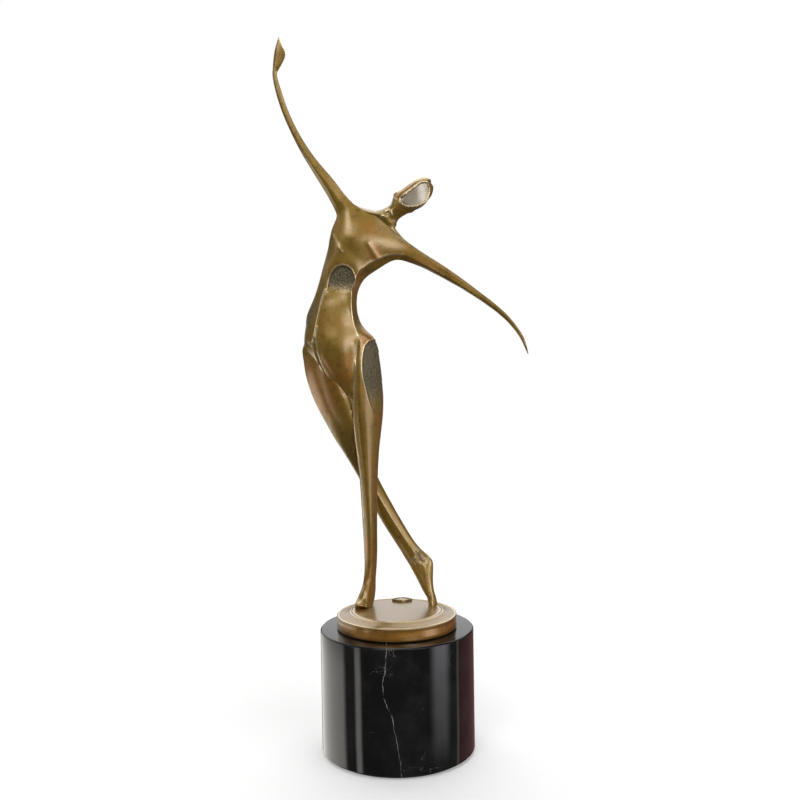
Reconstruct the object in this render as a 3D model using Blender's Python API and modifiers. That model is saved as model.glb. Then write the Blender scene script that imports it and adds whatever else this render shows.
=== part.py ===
"""An abstract bronze dancer on a round cast plate, bolted to a marble plinth.

Metres, +Z up. The origin is the centre of the plinth's underside. The dancer faces -Y.
"""

import math

import bmesh
import bpy
from mathutils import Matrix, Vector

# Driving dimensions, in metres.
PLINTH_DIAMETER = 0.100
PLINTH_HEIGHT = 0.0792
PLINTH_EDGE_CHAMFER = 0.0008
FELT_DIAMETER = 0.094
FELT_THICKNESS = 0.0012
PLATE_HEIGHT = 0.0105
PLATE_RIM_HEIGHT = 0.0078
PLATE_WALL = 0.0036
PLATE_PAST_FOOT = 0.01241
PLATE_GROOVE_TO_EDGE = 0.0098
PLATE_GROOVE_DEPTH = 0.0006
FIGURE_HEIGHT = 0.3795
SEAL_LENGTH = 0.0136
SEAL_WIDTH = 0.0086
SEAL_THICKNESS = 0.0012
SEAL_TO_GROOVE = 0.0016
PLATE_BOSS_DIAMETER = 0.016
CENTRE_STUD_DIAMETER = 0.008
FOOT_STUD_DIAMETER = 0.003
NUT_WIDTH_TO_STUD = 1.70
NUT_HEIGHT_TO_STUD = 0.80
WASHER_WIDTH_TO_STUD = 2.10
WASHER_THICKNESS = 0.0008
CENTRE_WASHER_DIAMETER = 0.022
CENTRE_WASHER_THICKNESS = 0.0016
CENTRE_LOCK_WASHER_THICKNESS = 0.0020
COUNTERBORE_WIDER_BY = 0.004
COUNTERBORE_SPARE_DEPTH = 0.0015
STUD_PAST_NUT = 0.0015
STUD_INTO_PLATE_TOP = 0.0012

# Clearances, in metres.
TOUCH_GAP = 0.0003
BORE_GAP = 0.0003
STUD_HOLE_GAP = 0.0010

# The dancer's cage below is drawn in millimetres above the plate for this height.
CAGE_HEIGHT = 379.5
SURFACE_LEVELS = 1
FITTING_ROUNDS = 8
FITTING_STEP = 0.9

# How sharp the dancer's ridges are, from 0 for soft to 1 for an edge.
BELLY_RIDGE = 0.55
FLANK_EDGE = 0.35
SHIN_RIDGE = 0.35
ARM_EDGE = 0.6
ARM_RIDGE = 0.65
SHOULDER_RIDGE = 0.6
FACE_EDGE = 0.8
CROWN_EDGE = 0.6

TURN_SEGMENTS = 64
SMALL_SEGMENTS = 24

# Levels above the origin that the pieces share.
PLINTH_TOP = FELT_THICKNESS + TOUCH_GAP + PLINTH_HEIGHT
PLATE_BOTTOM = PLINTH_TOP + TOUCH_GAP
PLATE_TOP = PLATE_BOTTOM + PLATE_HEIGHT
PLATE_CEILING = PLATE_TOP - PLATE_WALL
UNIT = FIGURE_HEIGHT / CAGE_HEIGHT

# Each torso row: seven points across the front from the dancer's right side to the left,
# as x, y, z, then how far back the row's middle goes and how deep the spine's groove is.
TORSO_ROWS = [
    ([(-42.0, 12, 236.0), (-37.5, 6.2, 235.5), (-32.0, 4.4, 235.5), (-24.0, 4.6, 233.0),
      (-16.5, 5.4, 225.5), (-13.6, 8, 223.8), (-10.2, 12, 223.0)], 20.5, 1.2),
    ([(-45.0, 12, 226.0), (-39.2, 5.0, 222.5), (-34.5, 4.2, 226.5), (-28.0, 4.2, 226.0),
      (-23.6, 4.2, 221.0), (-20.2, 7.2, 219.5), (-16.6, 12, 218.4)], 20.0, 1.4),
    ([(-48.6, 12, 213.5), (-42.6, 4.8, 212.8), (-37.2, 5.6, 212.8), (-30.4, 5.6, 212.6),
      (-25.2, 4.2, 212.2), (-23.3, 7.4, 212.0), (-21.2, 12.2, 212.0)], 19.5, 1.4),
    ([(-53.0, 12.8, 202.0), (-46.2, 4.4, 201.6), (-40.0, 3.4, 201.4), (-32.4, 3.4, 201.4),
      (-26.4, 3.6, 201.4), (-24.8, 7.2, 201.6), (-23.2, 12.4, 202.0)], 20.2, 1.2),
    ([(-57.2, 13.4, 188.5), (-49.8, 3.8, 187.8), (-41.6, 1.2, 187.4), (-32.2, 1.0, 187.2),
      (-24.8, 2.8, 187.2), (-22.4, 6.4, 187.4), (-20.4, 12.2, 188.0)], 22.0, 0.9),
    ([(-58.4, 14.0, 177.5), (-51.8, 3.8, 175.8), (-42.2, -0.8, 175.8), (-31.0, -1.0, 176.4),
      (-22.6, 1.6, 177.8), (-17.8, 3.6, 178.6), (-11.8, 11.4, 178.4)], 24.0, 0.8),
    ([(-57.0, 15.0, 168.0), (-48.8, 3.4, 165.6), (-39.8, -0.8, 165.8), (-30.2, -1.2, 166.2),
      (-23.8, 1.2, 166.8), (-18.6, 1.8, 167.4), (-8.4, 12.0, 167.0)], 25.0, 1.2),
    ([(-48.6, 16.5, 153.5), (-41.8, 4.4, 153.2), (-35.4, 0.4, 153.6), (-29.2, 0.0, 154.0),
      (-24.4, 1.0, 154.4), (-18.4, 0.8, 154.4), (-7.2, 12.6, 153.8)], 25.0, 1.4),
    ([(-36.4, 18.0, 139.0), (-33.0, 8.0, 140.5), (-30.2, 4.0, 141.4), (-27.4, 2.8, 142.0),
      (-25.4, 2.6, 142.4), (-16.8, 1.4, 142.2), (-6.7, 13.2, 141.0)], 24.0, 0.6),
    ([(-28.6, 18.6, 124.5), (-28.4, 12.0, 125.6), (-27.6, 8.0, 126.4), (-26.9, 5.6, 127.0),
      (-26.0, 4.2, 127.4), (-14.6, 2.4, 127.6), (-7.4, 13.4, 127.0)], 22.8, 0.0),
    ([(-24.4, 18.8, 109.5), (-25.6, 15.0, 110.4), (-26.0, 11.8, 110.9), (-25.9, 9.2, 111.2),
      (-25.4, 6.8, 111.4), (-14.9, 4.0, 111.8), (-9.4, 13.2, 111.2)], 20.6, 0.0),
    ([(-22.2, 18.0, 88.0), (-23.2, 15.4, 88.4), (-23.5, 12.8, 88.6), (-23.3, 10.6, 88.8),
      (-22.6, 8.4, 89.0), (-16.2, 5.8, 89.0), (-11.2, 13.0, 88.6)], 19.2, 0.0),
    ([(-20.6, 19.6, 57.0), (-21.7, 17.4, 57.2), (-22.0, 15.2, 57.4), (-21.8, 13.2, 57.6),
      (-21.0, 11.2, 57.6), (-16.6, 8.4, 57.6), (-12.2, 15.2, 57.4)], 21.6, 0.0),
    ([(-20.0, 21.6, 32.0), (-20.9, 19.8, 32.2), (-21.2, 18.0, 32.3), (-21.0, 16.2, 32.4),
      (-20.4, 14.6, 32.4), (-16.8, 12.4, 32.4), (-12.6, 18.0, 32.2)], 22.8, 0.0),
    ([(-20.0, 23.6, 17.5), (-21.0, 21.6, 17.8), (-21.6, 19.4, 18.0), (-21.6, 17.2, 18.2),
      (-21.0, 15.2, 18.2), (-18.0, 13.4, 18.2), (-13.8, 19.0, 18.0)], 24.6, 0.0),
]

# The standing foot goes on from the ankle: across the instep, then down and out to the toes.
STANDING_FOOT_ROWS = [
    ([(-20.4, 25.0, 9.5), (-22.0, 22.4, 10.2), (-23.0, 19.0, 11.0), (-23.0, 15.6, 11.8),
      (-22.0, 12.6, 12.6), (-18.2, 11.4, 12.8), (-14.0, 19.0, 11.0)], 26.4, 0.0),
    ([(-20.6, 25.4, 2.6), (-22.8, 21.4, 3.6), (-24.6, 16.0, 5.2), (-25.2, 11.4, 7.2),
      (-23.4, 8.2, 8.4), (-18.8, 7.8, 8.4), (-14.8, 15.4, 4.8)], 26.8, 0.0),
    ([(-21.6, 23.0, -1.5), (-24.8, 16.0, -1.5), (-27.0, 9.4, 1.8), (-26.6, 6.0, 4.4),
      (-23.6, 4.0, 5.4), (-18.8, 3.8, 5.2), (-15.4, 8.4, 1.6)], 22.0, 0.0),
    ([(-23.4, 14.0, -2.2), (-25.8, 7.4, -1.8), (-26.6, 4.0, 0.2), (-25.4, 1.8, 2.2),
      (-22.6, 1.0, 2.8), (-18.6, 1.4, 2.4), (-16.2, 4.2, -0.2)], 12.0, 0.0),
]

# The chest: the row below the arms, the shoulder line, and the first ring of each arm.
CHEST_ROW = ([(-39.0, 12.0, 248.5), (-35.0, 6.8, 247.8), (-26.5, 4.4, 247.0), (-15.0, 4.2, 242.5),
              (-5.6, 5.6, 230.4), (-3.6, 8.8, 228.8), (-1.4, 12.0, 228.2)],
             [(-6.4, 19.0, 233.0), (-9.6, 20.0, 238.0), (-17.0, 20.6, 243.0), (-27.0, 20.0, 247.0),
              (-35.0, 18.0, 248.6)])
SHOULDERS = [(-18.2, 7.6, 261.2), (-9.4, 7.4, 257.8)]
SHOULDERS_BACK = [(-17.6, 18.6, 263.4), (-8.8, 18.8, 261.2)]

# Each raised arm ring: outer edge, ridge, front, inner edge, then two points behind.
RAISED_ARM_RINGS = [
    [(-35.4, 12, 258.6), (-32.4, 7.2, 260.2), (-28.4, 6.2, 262.4), (-23.6, 8.6, 266.4),
     (-27.6, 16.8, 264.0), (-32.2, 17.2, 260.8)],
    [(-38.0, 12.0, 266.4), (-35.4, 8.2, 267.4), (-33.0, 8.0, 269.4), (-29.9, 9.8, 273.2),
     (-32.4, 15.8, 270.8), (-35.6, 16.2, 268.2)],
    [(-45.8, 12.4, 280.4), (-43.4, 9.4, 280.8), (-41.0, 9.4, 281.8), (-37.3, 11.0, 283.2),
     (-40.4, 15.2, 282.6), (-43.4, 15.4, 281.4)],
    [(-55.0, 13.4, 295.8), (-53.2, 10.9, 295.8), (-51.4, 10.9, 296.4), (-48.5, 12.4, 297.0),
     (-51.0, 15.6, 296.8), (-53.2, 15.7, 296.2)],
    [(-63.2, 14.8, 311.6), (-61.8, 12.6, 311.6), (-60.4, 12.6, 312.0), (-58.4, 13.9, 312.4),
     (-60.2, 16.4, 312.2), (-61.8, 16.6, 311.8)],
    [(-70.2, 16.4, 328.0), (-69.0, 14.5, 328.0), (-67.6, 14.5, 328.2), (-65.9, 15.6, 328.6),
     (-67.4, 17.7, 328.4), (-69.0, 17.8, 328.2)],
    [(-74.6, 17.8, 342.6), (-73.5, 16.1, 342.6), (-72.2, 16.1, 342.8), (-70.8, 17.0, 343.0),
     (-72.0, 18.9, 342.9), (-73.4, 19.0, 342.7)],
    [(-76.6, 18.8, 353.0), (-75.6, 17.3, 353.0), (-74.6, 17.3, 353.0), (-73.4, 18.1, 353.2),
     (-74.4, 19.7, 353.1), (-75.6, 19.8, 353.0)],
    [(-76.5, 19.4, 358.4), (-75.3, 17.9, 358.4), (-73.9, 17.7, 358.2), (-72.1, 17.6, 358.0),
     (-73.8, 19.7, 358.2), (-75.2, 20.0, 358.3)],
    [(-75.8, 19.8, 365.2), (-74.3, 18.4, 365.2), (-72.2, 17.8, 365.2), (-69.2, 16.4, 365.4),
     (-71.8, 18.9, 365.3), (-74.2, 19.9, 365.2)],
    [(-74.7, 20.1, 371.4), (-73.7, 19.1, 371.4), (-72.6, 18.8, 371.4), (-71.0, 18.2, 371.5),
     (-72.4, 19.5, 371.4), (-73.7, 20.1, 371.4)],
    [(-73.0, 20.4, 377.2), (-72.6, 20.0, 377.4), (-72.2, 19.9, 377.6), (-71.6, 19.8, 378.0),
     (-72.0, 20.3, 377.7), (-72.6, 20.5, 377.4)],
    [(-72.3, 20.5, 379.2), (-72.2, 20.3, 379.3), (-72.0, 20.3, 379.4), (-71.8, 20.3, 379.5),
     (-72.0, 20.5, 379.4), (-72.2, 20.6, 379.3)],
]

# Each lowered arm ring: top edge, front, lower ridge, under plane, lower edge, three behind.
LOWERED_ARM_RINGS = [
    [(7.4, 9.4, 244.4), (7.8, 5.2, 238.0), (7.4, 5.6, 232.8), (7.0, 8.8, 230.4), (6.6, 12.2, 229.6),
     (7.0, 15.6, 231.4), (7.6, 17.4, 236.0), (7.4, 15.2, 242.0)],
    [(21.3, 9.2, 234.0), (21.2, 5.8, 229.6), (20.6, 6.6, 226.6), (20.2, 9.2, 225.4), (19.6, 12.0, 224.9),
     (20.2, 14.4, 226.4), (21.0, 15.0, 229.4), (21.3, 12.9, 232.6)],
    [(36.6, 8.8, 223.7), (36.2, 6.2, 220.4), (35.5, 7.0, 218.0), (35.1, 8.9, 217.1), (34.7, 11.2, 216.8),
     (35.3, 12.8, 218.2), (36.0, 13.0, 220.4), (36.6, 11.4, 222.6)],
    [(51.0, 8.2, 213.0), (50.4, 6.3, 210.8), (49.8, 6.8, 209.0), (49.4, 8.2, 208.4), (49.2, 9.9, 208.2),
     (49.7, 11.0, 209.4), (50.3, 11.1, 210.9), (50.9, 9.9, 212.3)],
    [(64.3, 7.2, 202.4), (63.7, 5.8, 200.8), (63.1, 6.1, 199.5), (62.7, 7.1, 199.1), (62.5, 8.3, 198.9),
     (63.0, 9.2, 199.7), (63.6, 9.2, 200.8), (64.2, 8.3, 201.9)],
    [(74.9, 5.9, 192.8), (74.3, 4.8, 191.9), (73.6, 5.0, 191.0), (73.1, 5.8, 190.7), (72.8, 6.7, 190.5),
     (73.4, 7.4, 191.1), (74.1, 7.4, 192.0), (74.8, 6.7, 192.6)],
    [(82.6, 4.4, 183.0), (81.9, 3.6, 182.4), (81.3, 3.8, 181.8), (80.9, 4.3, 181.5), (80.6, 5.0, 181.3),
     (81.1, 5.6, 181.7), (81.8, 5.6, 182.3), (82.5, 5.0, 182.9)],
    [(86.6, 3.0, 175.0), (86.0, 2.4, 174.7), (85.5, 2.5, 174.3), (85.1, 2.9, 174.0), (84.9, 3.4, 173.9),
     (85.3, 3.8, 174.2), (85.9, 3.8, 174.6), (86.5, 3.4, 174.9)],
    [(88.4, 1.9, 167.6), (88.2, 1.6, 167.6), (88.0, 1.6, 167.5), (87.8, 1.8, 167.4), (87.6, 2.0, 167.4),
     (87.8, 2.2, 167.4), (88.0, 2.2, 167.5), (88.2, 2.1, 167.6)],
]

# Each neck ring: right side, two in front, left side, two behind.
NECK_RINGS = [
    [(-15.0, 13.6, 263.2), (-10.4, 9.0, 260.6), (-3.6, 8.8, 256.8), (3.4, 12.2, 251.8),
     (-0.6, 18.2, 256.6), (-8.4, 18.2, 262.0)],
    [(-7.0, 14.6, 263.2), (-4.4, 9.8, 260.8), (0.2, 9.4, 257.4), (4.4, 13.6, 254.8),
     (1.6, 18.2, 258.2), (-3.4, 18.4, 262.2)],
    [(-1.2, 13.8, 266.6), (0.8, 9.4, 263.6), (4.0, 9.2, 260.2), (7.0, 13.2, 257.8),
     (4.8, 17.6, 261.2), (0.8, 17.8, 265.4)],
]

# Each head ring: crown edge, two along the face, jaw edge, two behind.
HEAD_RINGS = [
    [(2.4, 13.0, 270.6), (4.6, 8.4, 266.8), (7.6, 8.2, 262.8), (12.0, 12.4, 260.3),
     (9.8, 17.2, 264.2), (5.0, 17.6, 269.6)],
    [(5.2, 12.4, 275.8), (7.0, 7.6, 270.0), (9.6, 7.2, 264.4), (15.8, 12.0, 261.8),
     (14.4, 18.0, 266.4), (8.2, 18.4, 273.4)],
    [(10.6, 12.0, 279.8), (13.2, 6.6, 274.4), (15.0, 6.4, 263.2), (20.4, 12.0, 264.4),
     (19.8, 18.4, 269.2), (14.0, 18.6, 277.0)],
    [(17.0, 12.0, 282.3), (18.8, 6.8, 278.2), (20.6, 6.8, 265.2), (25.0, 12.0, 268.6),
     (24.4, 17.4, 272.6), (19.6, 17.6, 279.8)],
    [(23.0, 12.0, 283.2), (23.4, 8.0, 279.8), (24.6, 8.0, 269.2), (27.7, 12.0, 273.4),
     (26.8, 15.6, 275.6), (24.0, 15.8, 281.4)],
    [(26.6, 12.0, 283.0), (26.0, 10.0, 280.2), (26.4, 9.8, 275.6), (28.1, 12.0, 278.0),
     (27.6, 13.6, 279.2), (26.9, 13.7, 281.6)],
]

# Each crossing leg ring: its right and left sides as x, y, z, how far the front and the back
# stand out, and where along the width the shin's ridge runs.
CROSSING_LEG_ROWS = [
    ((-54.5, 14.0, 184.0), (-40.0, 14.0, 180.0), 7.0, 7.0, 0.45),
    ((-58.6, 14.0, 175.5), (-35.5, 14.0, 165.0), 9.0, 9.2, 0.42),
    ((-59.4, 14.2, 165.5), (-31.5, 14.6, 151.5), 10.0, 10.0, 0.40),
    ((-57.4, 14.8, 152.0), (-28.0, 16.2, 138.5), 10.0, 9.8, 0.40),
    ((-52.0, 15.8, 136.0), (-24.6, 18.0, 126.0), 9.4, 8.8, 0.42),
    ((-44.2, 17.6, 120.0), (-20.8, 20.8, 114.0), 8.4, 7.8, 0.45),
    ((-35.6, 22.4, 104.0), (-17.4, 25.6, 100.0), 6.8, 6.6, 0.48),
    ((-27.0, 27.4, 88.6), (-12.6, 28.4, 86.6), 5.4, 5.8, 0.50),
    ((-18.4, 29.2, 71.6), (-6.0, 29.2, 73.2), 5.0, 5.6, 0.55),
    ((-9.8, 28.4, 54.8), (1.5, 28.4, 59.2), 4.8, 6.0, 0.60),
    ((-0.8, 26.2, 40.6), (9.2, 26.2, 46.0), 4.3, 5.2, 0.62),
    ((5.2, 24.0, 31.0), (16.0, 23.6, 36.6), 3.9, 4.4, 0.62),
    ((9.0, 22.0, 25.0), (22.0, 21.4, 31.2), 3.9, 4.2, 0.60),
    ((12.2, 19.6, 19.2), (25.0, 18.8, 26.0), 4.0, 4.2, 0.56),
    ((15.6, 17.2, 12.8), (24.8, 16.0, 17.6), 4.2, 4.0, 0.52),
    ((19.0, 14.4, 6.6), (25.2, 13.4, 9.4), 4.2, 3.6, 0.50),
    ((20.8, 12.6, 3.2), (26.6, 11.8, 4.4), 4.0, 3.4, 0.50),
    ((21.6, 12.0, -1.5), (27.2, 11.4, -1.5), 3.6, 3.0, 0.50),
]

# Welds: name, middle in cage millimetres, the cut plane's normal, and the saw's half sizes.
WELDS = {
    "neck": ((3.2, 13.2, 262.6), (0.62, -0.1, 0.78), (11.0, 11.0)),
    "raised_arm": ((-34.0, 12.0, 269.2), (-0.55, 0.0, 0.83), (12.0, 14.0)),
    "lowered_arm": ((16.0, 10.4, 232.4), (0.86, 0.0, -0.50), (14.0, 16.0)),
    "standing_leg": ((-17.6, 9.2, 90.0), (0.0, 0.0, 1.0), (12.0, 11.0)),
    "crossing_leg": ((-21.4, 32.5, 90.8), (0.50, 0.0, -0.87), (12.0, 12.0)),
}
DOWELS = {
    "neck": (0.0030, 0.010),
    "raised_arm": (0.0030, 0.014),
    "lowered_arm": (0.0040, 0.014),
    "standing_leg": (0.0050, 0.018),
    "crossing_leg": (0.0050, 0.016),
}
DOWEL_MIDDLES = {
    "neck": (3.4, 13.6, 262.4),
    "raised_arm": (-33.9, 12.0, 269.4),
    "lowered_arm": (13.6, 10.4, 234.0),
    "standing_leg": (-17.6, 12.4, 90.0),
    "crossing_leg": (-21.4, 27.4, 90.8),
}

# Each foot's stud, in cage millimetres: its place across the plate, and how far it goes into the foot.
FOOT_STUDS = {"standing_foot": ((-20.2, 16.5), 7.5), "crossing_foot": ((23.9, 12.1), 4.0)}

# The plate reaches past the foot that stands furthest out.
FOOT_REACH = max(math.hypot(x, y) * UNIT for (x, y), _ in FOOT_STUDS.values())
PLATE_RADIUS = FOOT_REACH + PLATE_PAST_FOOT
PLATE_GROOVE_RADIUS = PLATE_RADIUS - PLATE_GROOVE_TO_EDGE

CAST_SEEDS = {
    "head": (20.0, 12.0, 274.0),
    "raised_arm": (-68.0, 16.0, 328.0),
    "lowered_arm": (64.0, 7.5, 200.5),
    "standing_leg": (-17.0, 15.0, 50.0),
    "crossing_leg": (4.0, 25.0, 43.0),
    "torso": (-35.0, 12.0, 190.0),
}


def material(name, colour, roughness, metallic):
    made = bpy.data.materials.new(name)
    made.use_nodes = True
    shader = made.node_tree.nodes["Principled BSDF"]
    shader.inputs["Base Color"].default_value = (*colour, 1.0)
    shader.inputs["Roughness"].default_value = roughness
    shader.inputs["Metallic"].default_value = metallic
    made.diffuse_color = (*colour, 1.0)
    return made


def collection(name, hidden=False):
    made = bpy.data.collections.new(name)
    bpy.context.scene.collection.children.link(made)
    made.hide_render = hidden
    return made


def add_object(name, mesh, group, finish=None):
    made = bpy.data.objects.new(name, mesh)
    group.objects.link(made)
    if finish is not None:
        mesh.materials.clear()
        mesh.materials.append(finish)
    return made


def as_cutter(made):
    made.hide_render = True
    made.display_type = "WIRE"
    return made


def smooth_round_faces(mesh, angle=math.radians(35)):
    mesh.shade_smooth()
    mesh.set_sharp_from_angle(angle=angle)


def mesh_from(bm, name):
    bmesh.ops.recalc_face_normals(bm, faces=bm.faces)
    mesh = bpy.data.meshes.new(name)
    bm.to_mesh(mesh)
    bm.free()
    return mesh


def evaluated_mesh(source):
    bpy.context.view_layer.update()
    graph = bpy.context.evaluated_depsgraph_get()
    return bpy.data.meshes.new_from_object(source.evaluated_get(graph))


def cylinder_mesh(name, radius, bottom, top, segments=TURN_SEGMENTS):
    bm = bmesh.new()
    middle = Matrix.Translation((0.0, 0.0, (bottom + top) / 2))
    bmesh.ops.create_cone(bm, cap_ends=True, segments=segments, radius1=radius,
                          radius2=radius, depth=top - bottom, matrix=middle)
    return mesh_from(bm, name)


def turned(name, profile, group, finish, segments=TURN_SEGMENTS):
    """A closed shape turned about the vertical axis; the profile runs down its outer side."""
    mesh = bpy.data.meshes.new(name)
    points = [(radius, 0.0, height) for radius, height in profile]
    mesh.from_pydata(points, [(i, i + 1) for i in range(len(points) - 1)], [])
    made = add_object(name, mesh, group, finish)
    screw = made.modifiers.new("turn", "SCREW")
    screw.steps = segments
    screw.render_steps = segments
    screw.use_merge_vertices = True
    screw.merge_threshold = 0.00001
    return made


def baked(made, group, finish):
    """The object again with its modifiers applied, so that it can be cut or moved as a mesh."""
    name = made.name
    mesh = evaluated_mesh(made)
    bpy.data.objects.remove(made)
    smooth_round_faces(mesh)
    return add_object(name, mesh, group, finish)


def cut(made, cutter, operation="DIFFERENCE"):
    modifier = made.modifiers.new(cutter.name, "BOOLEAN")
    modifier.operation = operation
    modifier.object = cutter
    modifier.solver = "EXACT"


def in_metres(point):
    return Vector((point[0] * UNIT, point[1] * UNIT, PLATE_TOP + point[2] * UNIT))


# The dancer's cage: rings of points that the Subdivision Surface follows.

def torso_ring(front, back_depth, groove):
    """Twelve points: seven across the front, then five behind from the left side to the right."""
    first, last = Vector(front[0]), Vector(front[-1])
    behind = []
    for step in range(5, 0, -1):
        share = step / 6
        point = first.lerp(last, share)
        point.y += (back_depth - point.y) * math.sin(math.pi * share) ** 0.6
        point.y -= groove if step == 3 else 0.0
        behind.append(tuple(point))
    return list(front) + behind


def leg_ring(right, left, front, back, ridge):
    """Eight points round a leg: its right side, three in front, its left side, three behind."""
    first, last = Vector(right), Vector(left)
    ring = [right]
    for share, stands_out in ((ridge * 0.42, 0.74), (ridge, 1.0), (1 - (1 - ridge) * 0.42, 0.70)):
        point = first.lerp(last, share)
        ring.append((point.x, point.y - front * stands_out, point.z))
    ring.append(left)
    for share, stands_out in ((0.84, 0.74), (0.5, 1.0), (0.16, 0.74)):
        point = first.lerp(last, share)
        ring.append((point.x, point.y + back * stands_out, point.z))
    return ring


def add_ring(bm, points):
    return [bm.verts.new(in_metres(point)) for point in points]


def bridge(bm, lower, upper):
    for index in range(len(lower)):
        following = (index + 1) % len(lower)
        bm.faces.new((lower[index], lower[following], upper[following], upper[index]))


def close_ring(bm, ring):
    count = len(ring)
    for index in range(count // 2 - 1):
        bm.faces.new((ring[index], ring[index + 1], ring[count - 2 - index], ring[count - 1 - index]))


def add_tube(bm, rings, closed_start=False, closed_end=True):
    for lower, upper in zip(rings, rings[1:]):
        bridge(bm, lower, upper)
    if closed_start:
        close_ring(bm, rings[0])
    if closed_end:
        close_ring(bm, rings[-1])


def crease_along(bm, crease, rings, column, sharpness):
    for lower, upper in zip(rings, rings[1:]):
        edge = bm.edges.get((lower[column], upper[column]))
        edge[crease] = sharpness


def join_chest(bm, chest, arm, shoulders, shoulders_back, lowered):
    """The front and back of the chest, between the torso's last ring, both arms and the neck."""
    front = chest[:7]
    back = [chest[0]] + chest[:6:-1] + [chest[6]]
    raised_front = arm[:4]
    raised_back = [arm[0], arm[5], arm[4], arm[3]]
    lowered_front = lowered[:5]
    lowered_back = [lowered[0]] + lowered[:4:-1] + [lowered[4]]
    sides = ((front, raised_front, lowered_front, shoulders),
             (back, raised_back, lowered_back, shoulders_back))
    for row, raised, low, (near, far) in sides:
        bm.faces.new((row[0], row[1], raised[1], raised[0]))
        bm.faces.new((row[1], row[2], raised[2], raised[1]))
        bm.faces.new((row[2], near, raised[3], raised[2]))
        bm.faces.new((row[2], row[3], far, near))
        bm.faces.new((row[3], low[1], low[0], far))
        bm.faces.new((row[3], row[4], low[2], low[1]))
        bm.faces.new((row[4], row[5], low[3], low[2]))
        bm.faces.new((row[5], row[6], low[4], low[3]))


def body_cage():
    """The torso, standing leg, arms, neck and head as one cage."""
    bm = bmesh.new()
    crease = bm.edges.layers.float.new("crease_edge")
    rows = TORSO_ROWS + STANDING_FOOT_ROWS
    torso = [add_ring(bm, torso_ring(*row)) for row in rows]
    chest = add_ring(bm, CHEST_ROW[0] + CHEST_ROW[1])
    add_tube(bm, [chest] + torso)
    raised = [add_ring(bm, ring) for ring in RAISED_ARM_RINGS]
    add_tube(bm, raised)
    lowered = [add_ring(bm, ring) for ring in LOWERED_ARM_RINGS]
    add_tube(bm, lowered)
    shoulders = add_ring(bm, SHOULDERS)
    shoulders_back = add_ring(bm, SHOULDERS_BACK)
    join_chest(bm, chest, raised[0], shoulders, shoulders_back, lowered[0])
    collar = [raised[0][3], *shoulders, lowered[0][0], shoulders_back[1], shoulders_back[0]]
    neck = [collar] + [add_ring(bm, ring) for ring in NECK_RINGS + HEAD_RINGS]
    add_tube(bm, neck)

    spine = [chest] + torso
    crease_along(bm, crease, spine[1:8], 1, BELLY_RIDGE)
    crease_along(bm, crease, spine[1:8], 4, BELLY_RIDGE)
    crease_along(bm, crease, spine[:6], 0, FLANK_EDGE)
    crease_along(bm, crease, spine[8:16], 4, SHIN_RIDGE)
    crease_along(bm, crease, raised, 0, ARM_EDGE)
    crease_along(bm, crease, raised, 1, ARM_RIDGE)
    crease_along(bm, crease, raised, 3, ARM_EDGE)
    crease_along(bm, crease, lowered, 0, ARM_EDGE)
    crease_along(bm, crease, lowered, 2, ARM_RIDGE)
    crease_along(bm, crease, lowered, 4, ARM_EDGE)
    for first, second in zip(collar[:3], collar[1:4]):
        bm.edges.get((first, second))[crease] = SHOULDER_RIDGE
    head = neck[-len(HEAD_RINGS):]
    crease_along(bm, crease, head[1:], 1, FACE_EDGE)
    crease_along(bm, crease, head[1:], 2, FACE_EDGE)
    crease_along(bm, crease, head, 0, CROWN_EDGE)
    crease_along(bm, crease, head, 3, CROWN_EDGE)
    return mesh_from(bm, "body_cage")


def crossing_leg_cage():
    bm = bmesh.new()
    crease = bm.edges.layers.float.new("crease_edge")
    rings = [add_ring(bm, leg_ring(*row)) for row in CROSSING_LEG_ROWS]
    add_tube(bm, rings, closed_start=True)
    crease_along(bm, crease, rings[6:], 2, SHIN_RIDGE)
    crease_along(bm, crease, rings[1:7], 0, FLANK_EDGE)
    return mesh_from(bm, "crossing_leg_cage")


def fit_cage(made):
    """Moves the cage's points out until the finished surface passes through where they began."""
    mesh = made.data
    wanted = [vert.co.copy() for vert in mesh.vertices]
    for _ in range(FITTING_ROUNDS):
        reached = evaluated_mesh(made)
        for vert, target, now in zip(mesh.vertices, wanted, reached.vertices):
            vert.co += (target - now.co) * FITTING_STEP
        bpy.data.meshes.remove(reached)


def subdivided(name, mesh, group, levels):
    made = add_object(name, mesh, group)
    surface = made.modifiers.new("surface", "SUBSURF")
    surface.levels = 1
    surface.render_levels = 1
    surface.use_limit_surface = True
    fit_cage(made)
    surface.levels = levels
    surface.render_levels = levels
    return as_cutter(made)


def placed_box(name, middle, normal, half_sizes, thickness, group):
    """A thin box across a weld: its short side lies along the normal."""
    bm = bmesh.new()
    bmesh.ops.create_cube(bm, size=2.0)
    scale = Matrix.Diagonal((half_sizes[0] * UNIT, half_sizes[1] * UNIT, thickness / 2, 1.0))
    bm.transform(scale)
    made = add_object(name, mesh_from(bm, name), group)
    made.matrix_world = weld_frame(normal, middle)
    return as_cutter(made)


def weld_frame(normal, middle):
    """Z along the weld's normal, Y as near to the world's Y as it can be, placed at the middle."""
    along = Vector(normal).normalized()
    side = Vector((0.0, 1.0, 0.0)).cross(along).normalized()
    across = along.cross(side)
    turn = Matrix((side, across, along)).transposed().to_4x4()
    return Matrix.Translation(in_metres(middle)) @ turn


def placed_cylinder(name, frame, radius, half_length, group, finish=None):
    mesh = cylinder_mesh(name, radius, -half_length, half_length, SMALL_SEGMENTS)
    smooth_round_faces(mesh)
    made = add_object(name, mesh, group, finish)
    made.matrix_world = frame
    return made


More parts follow.
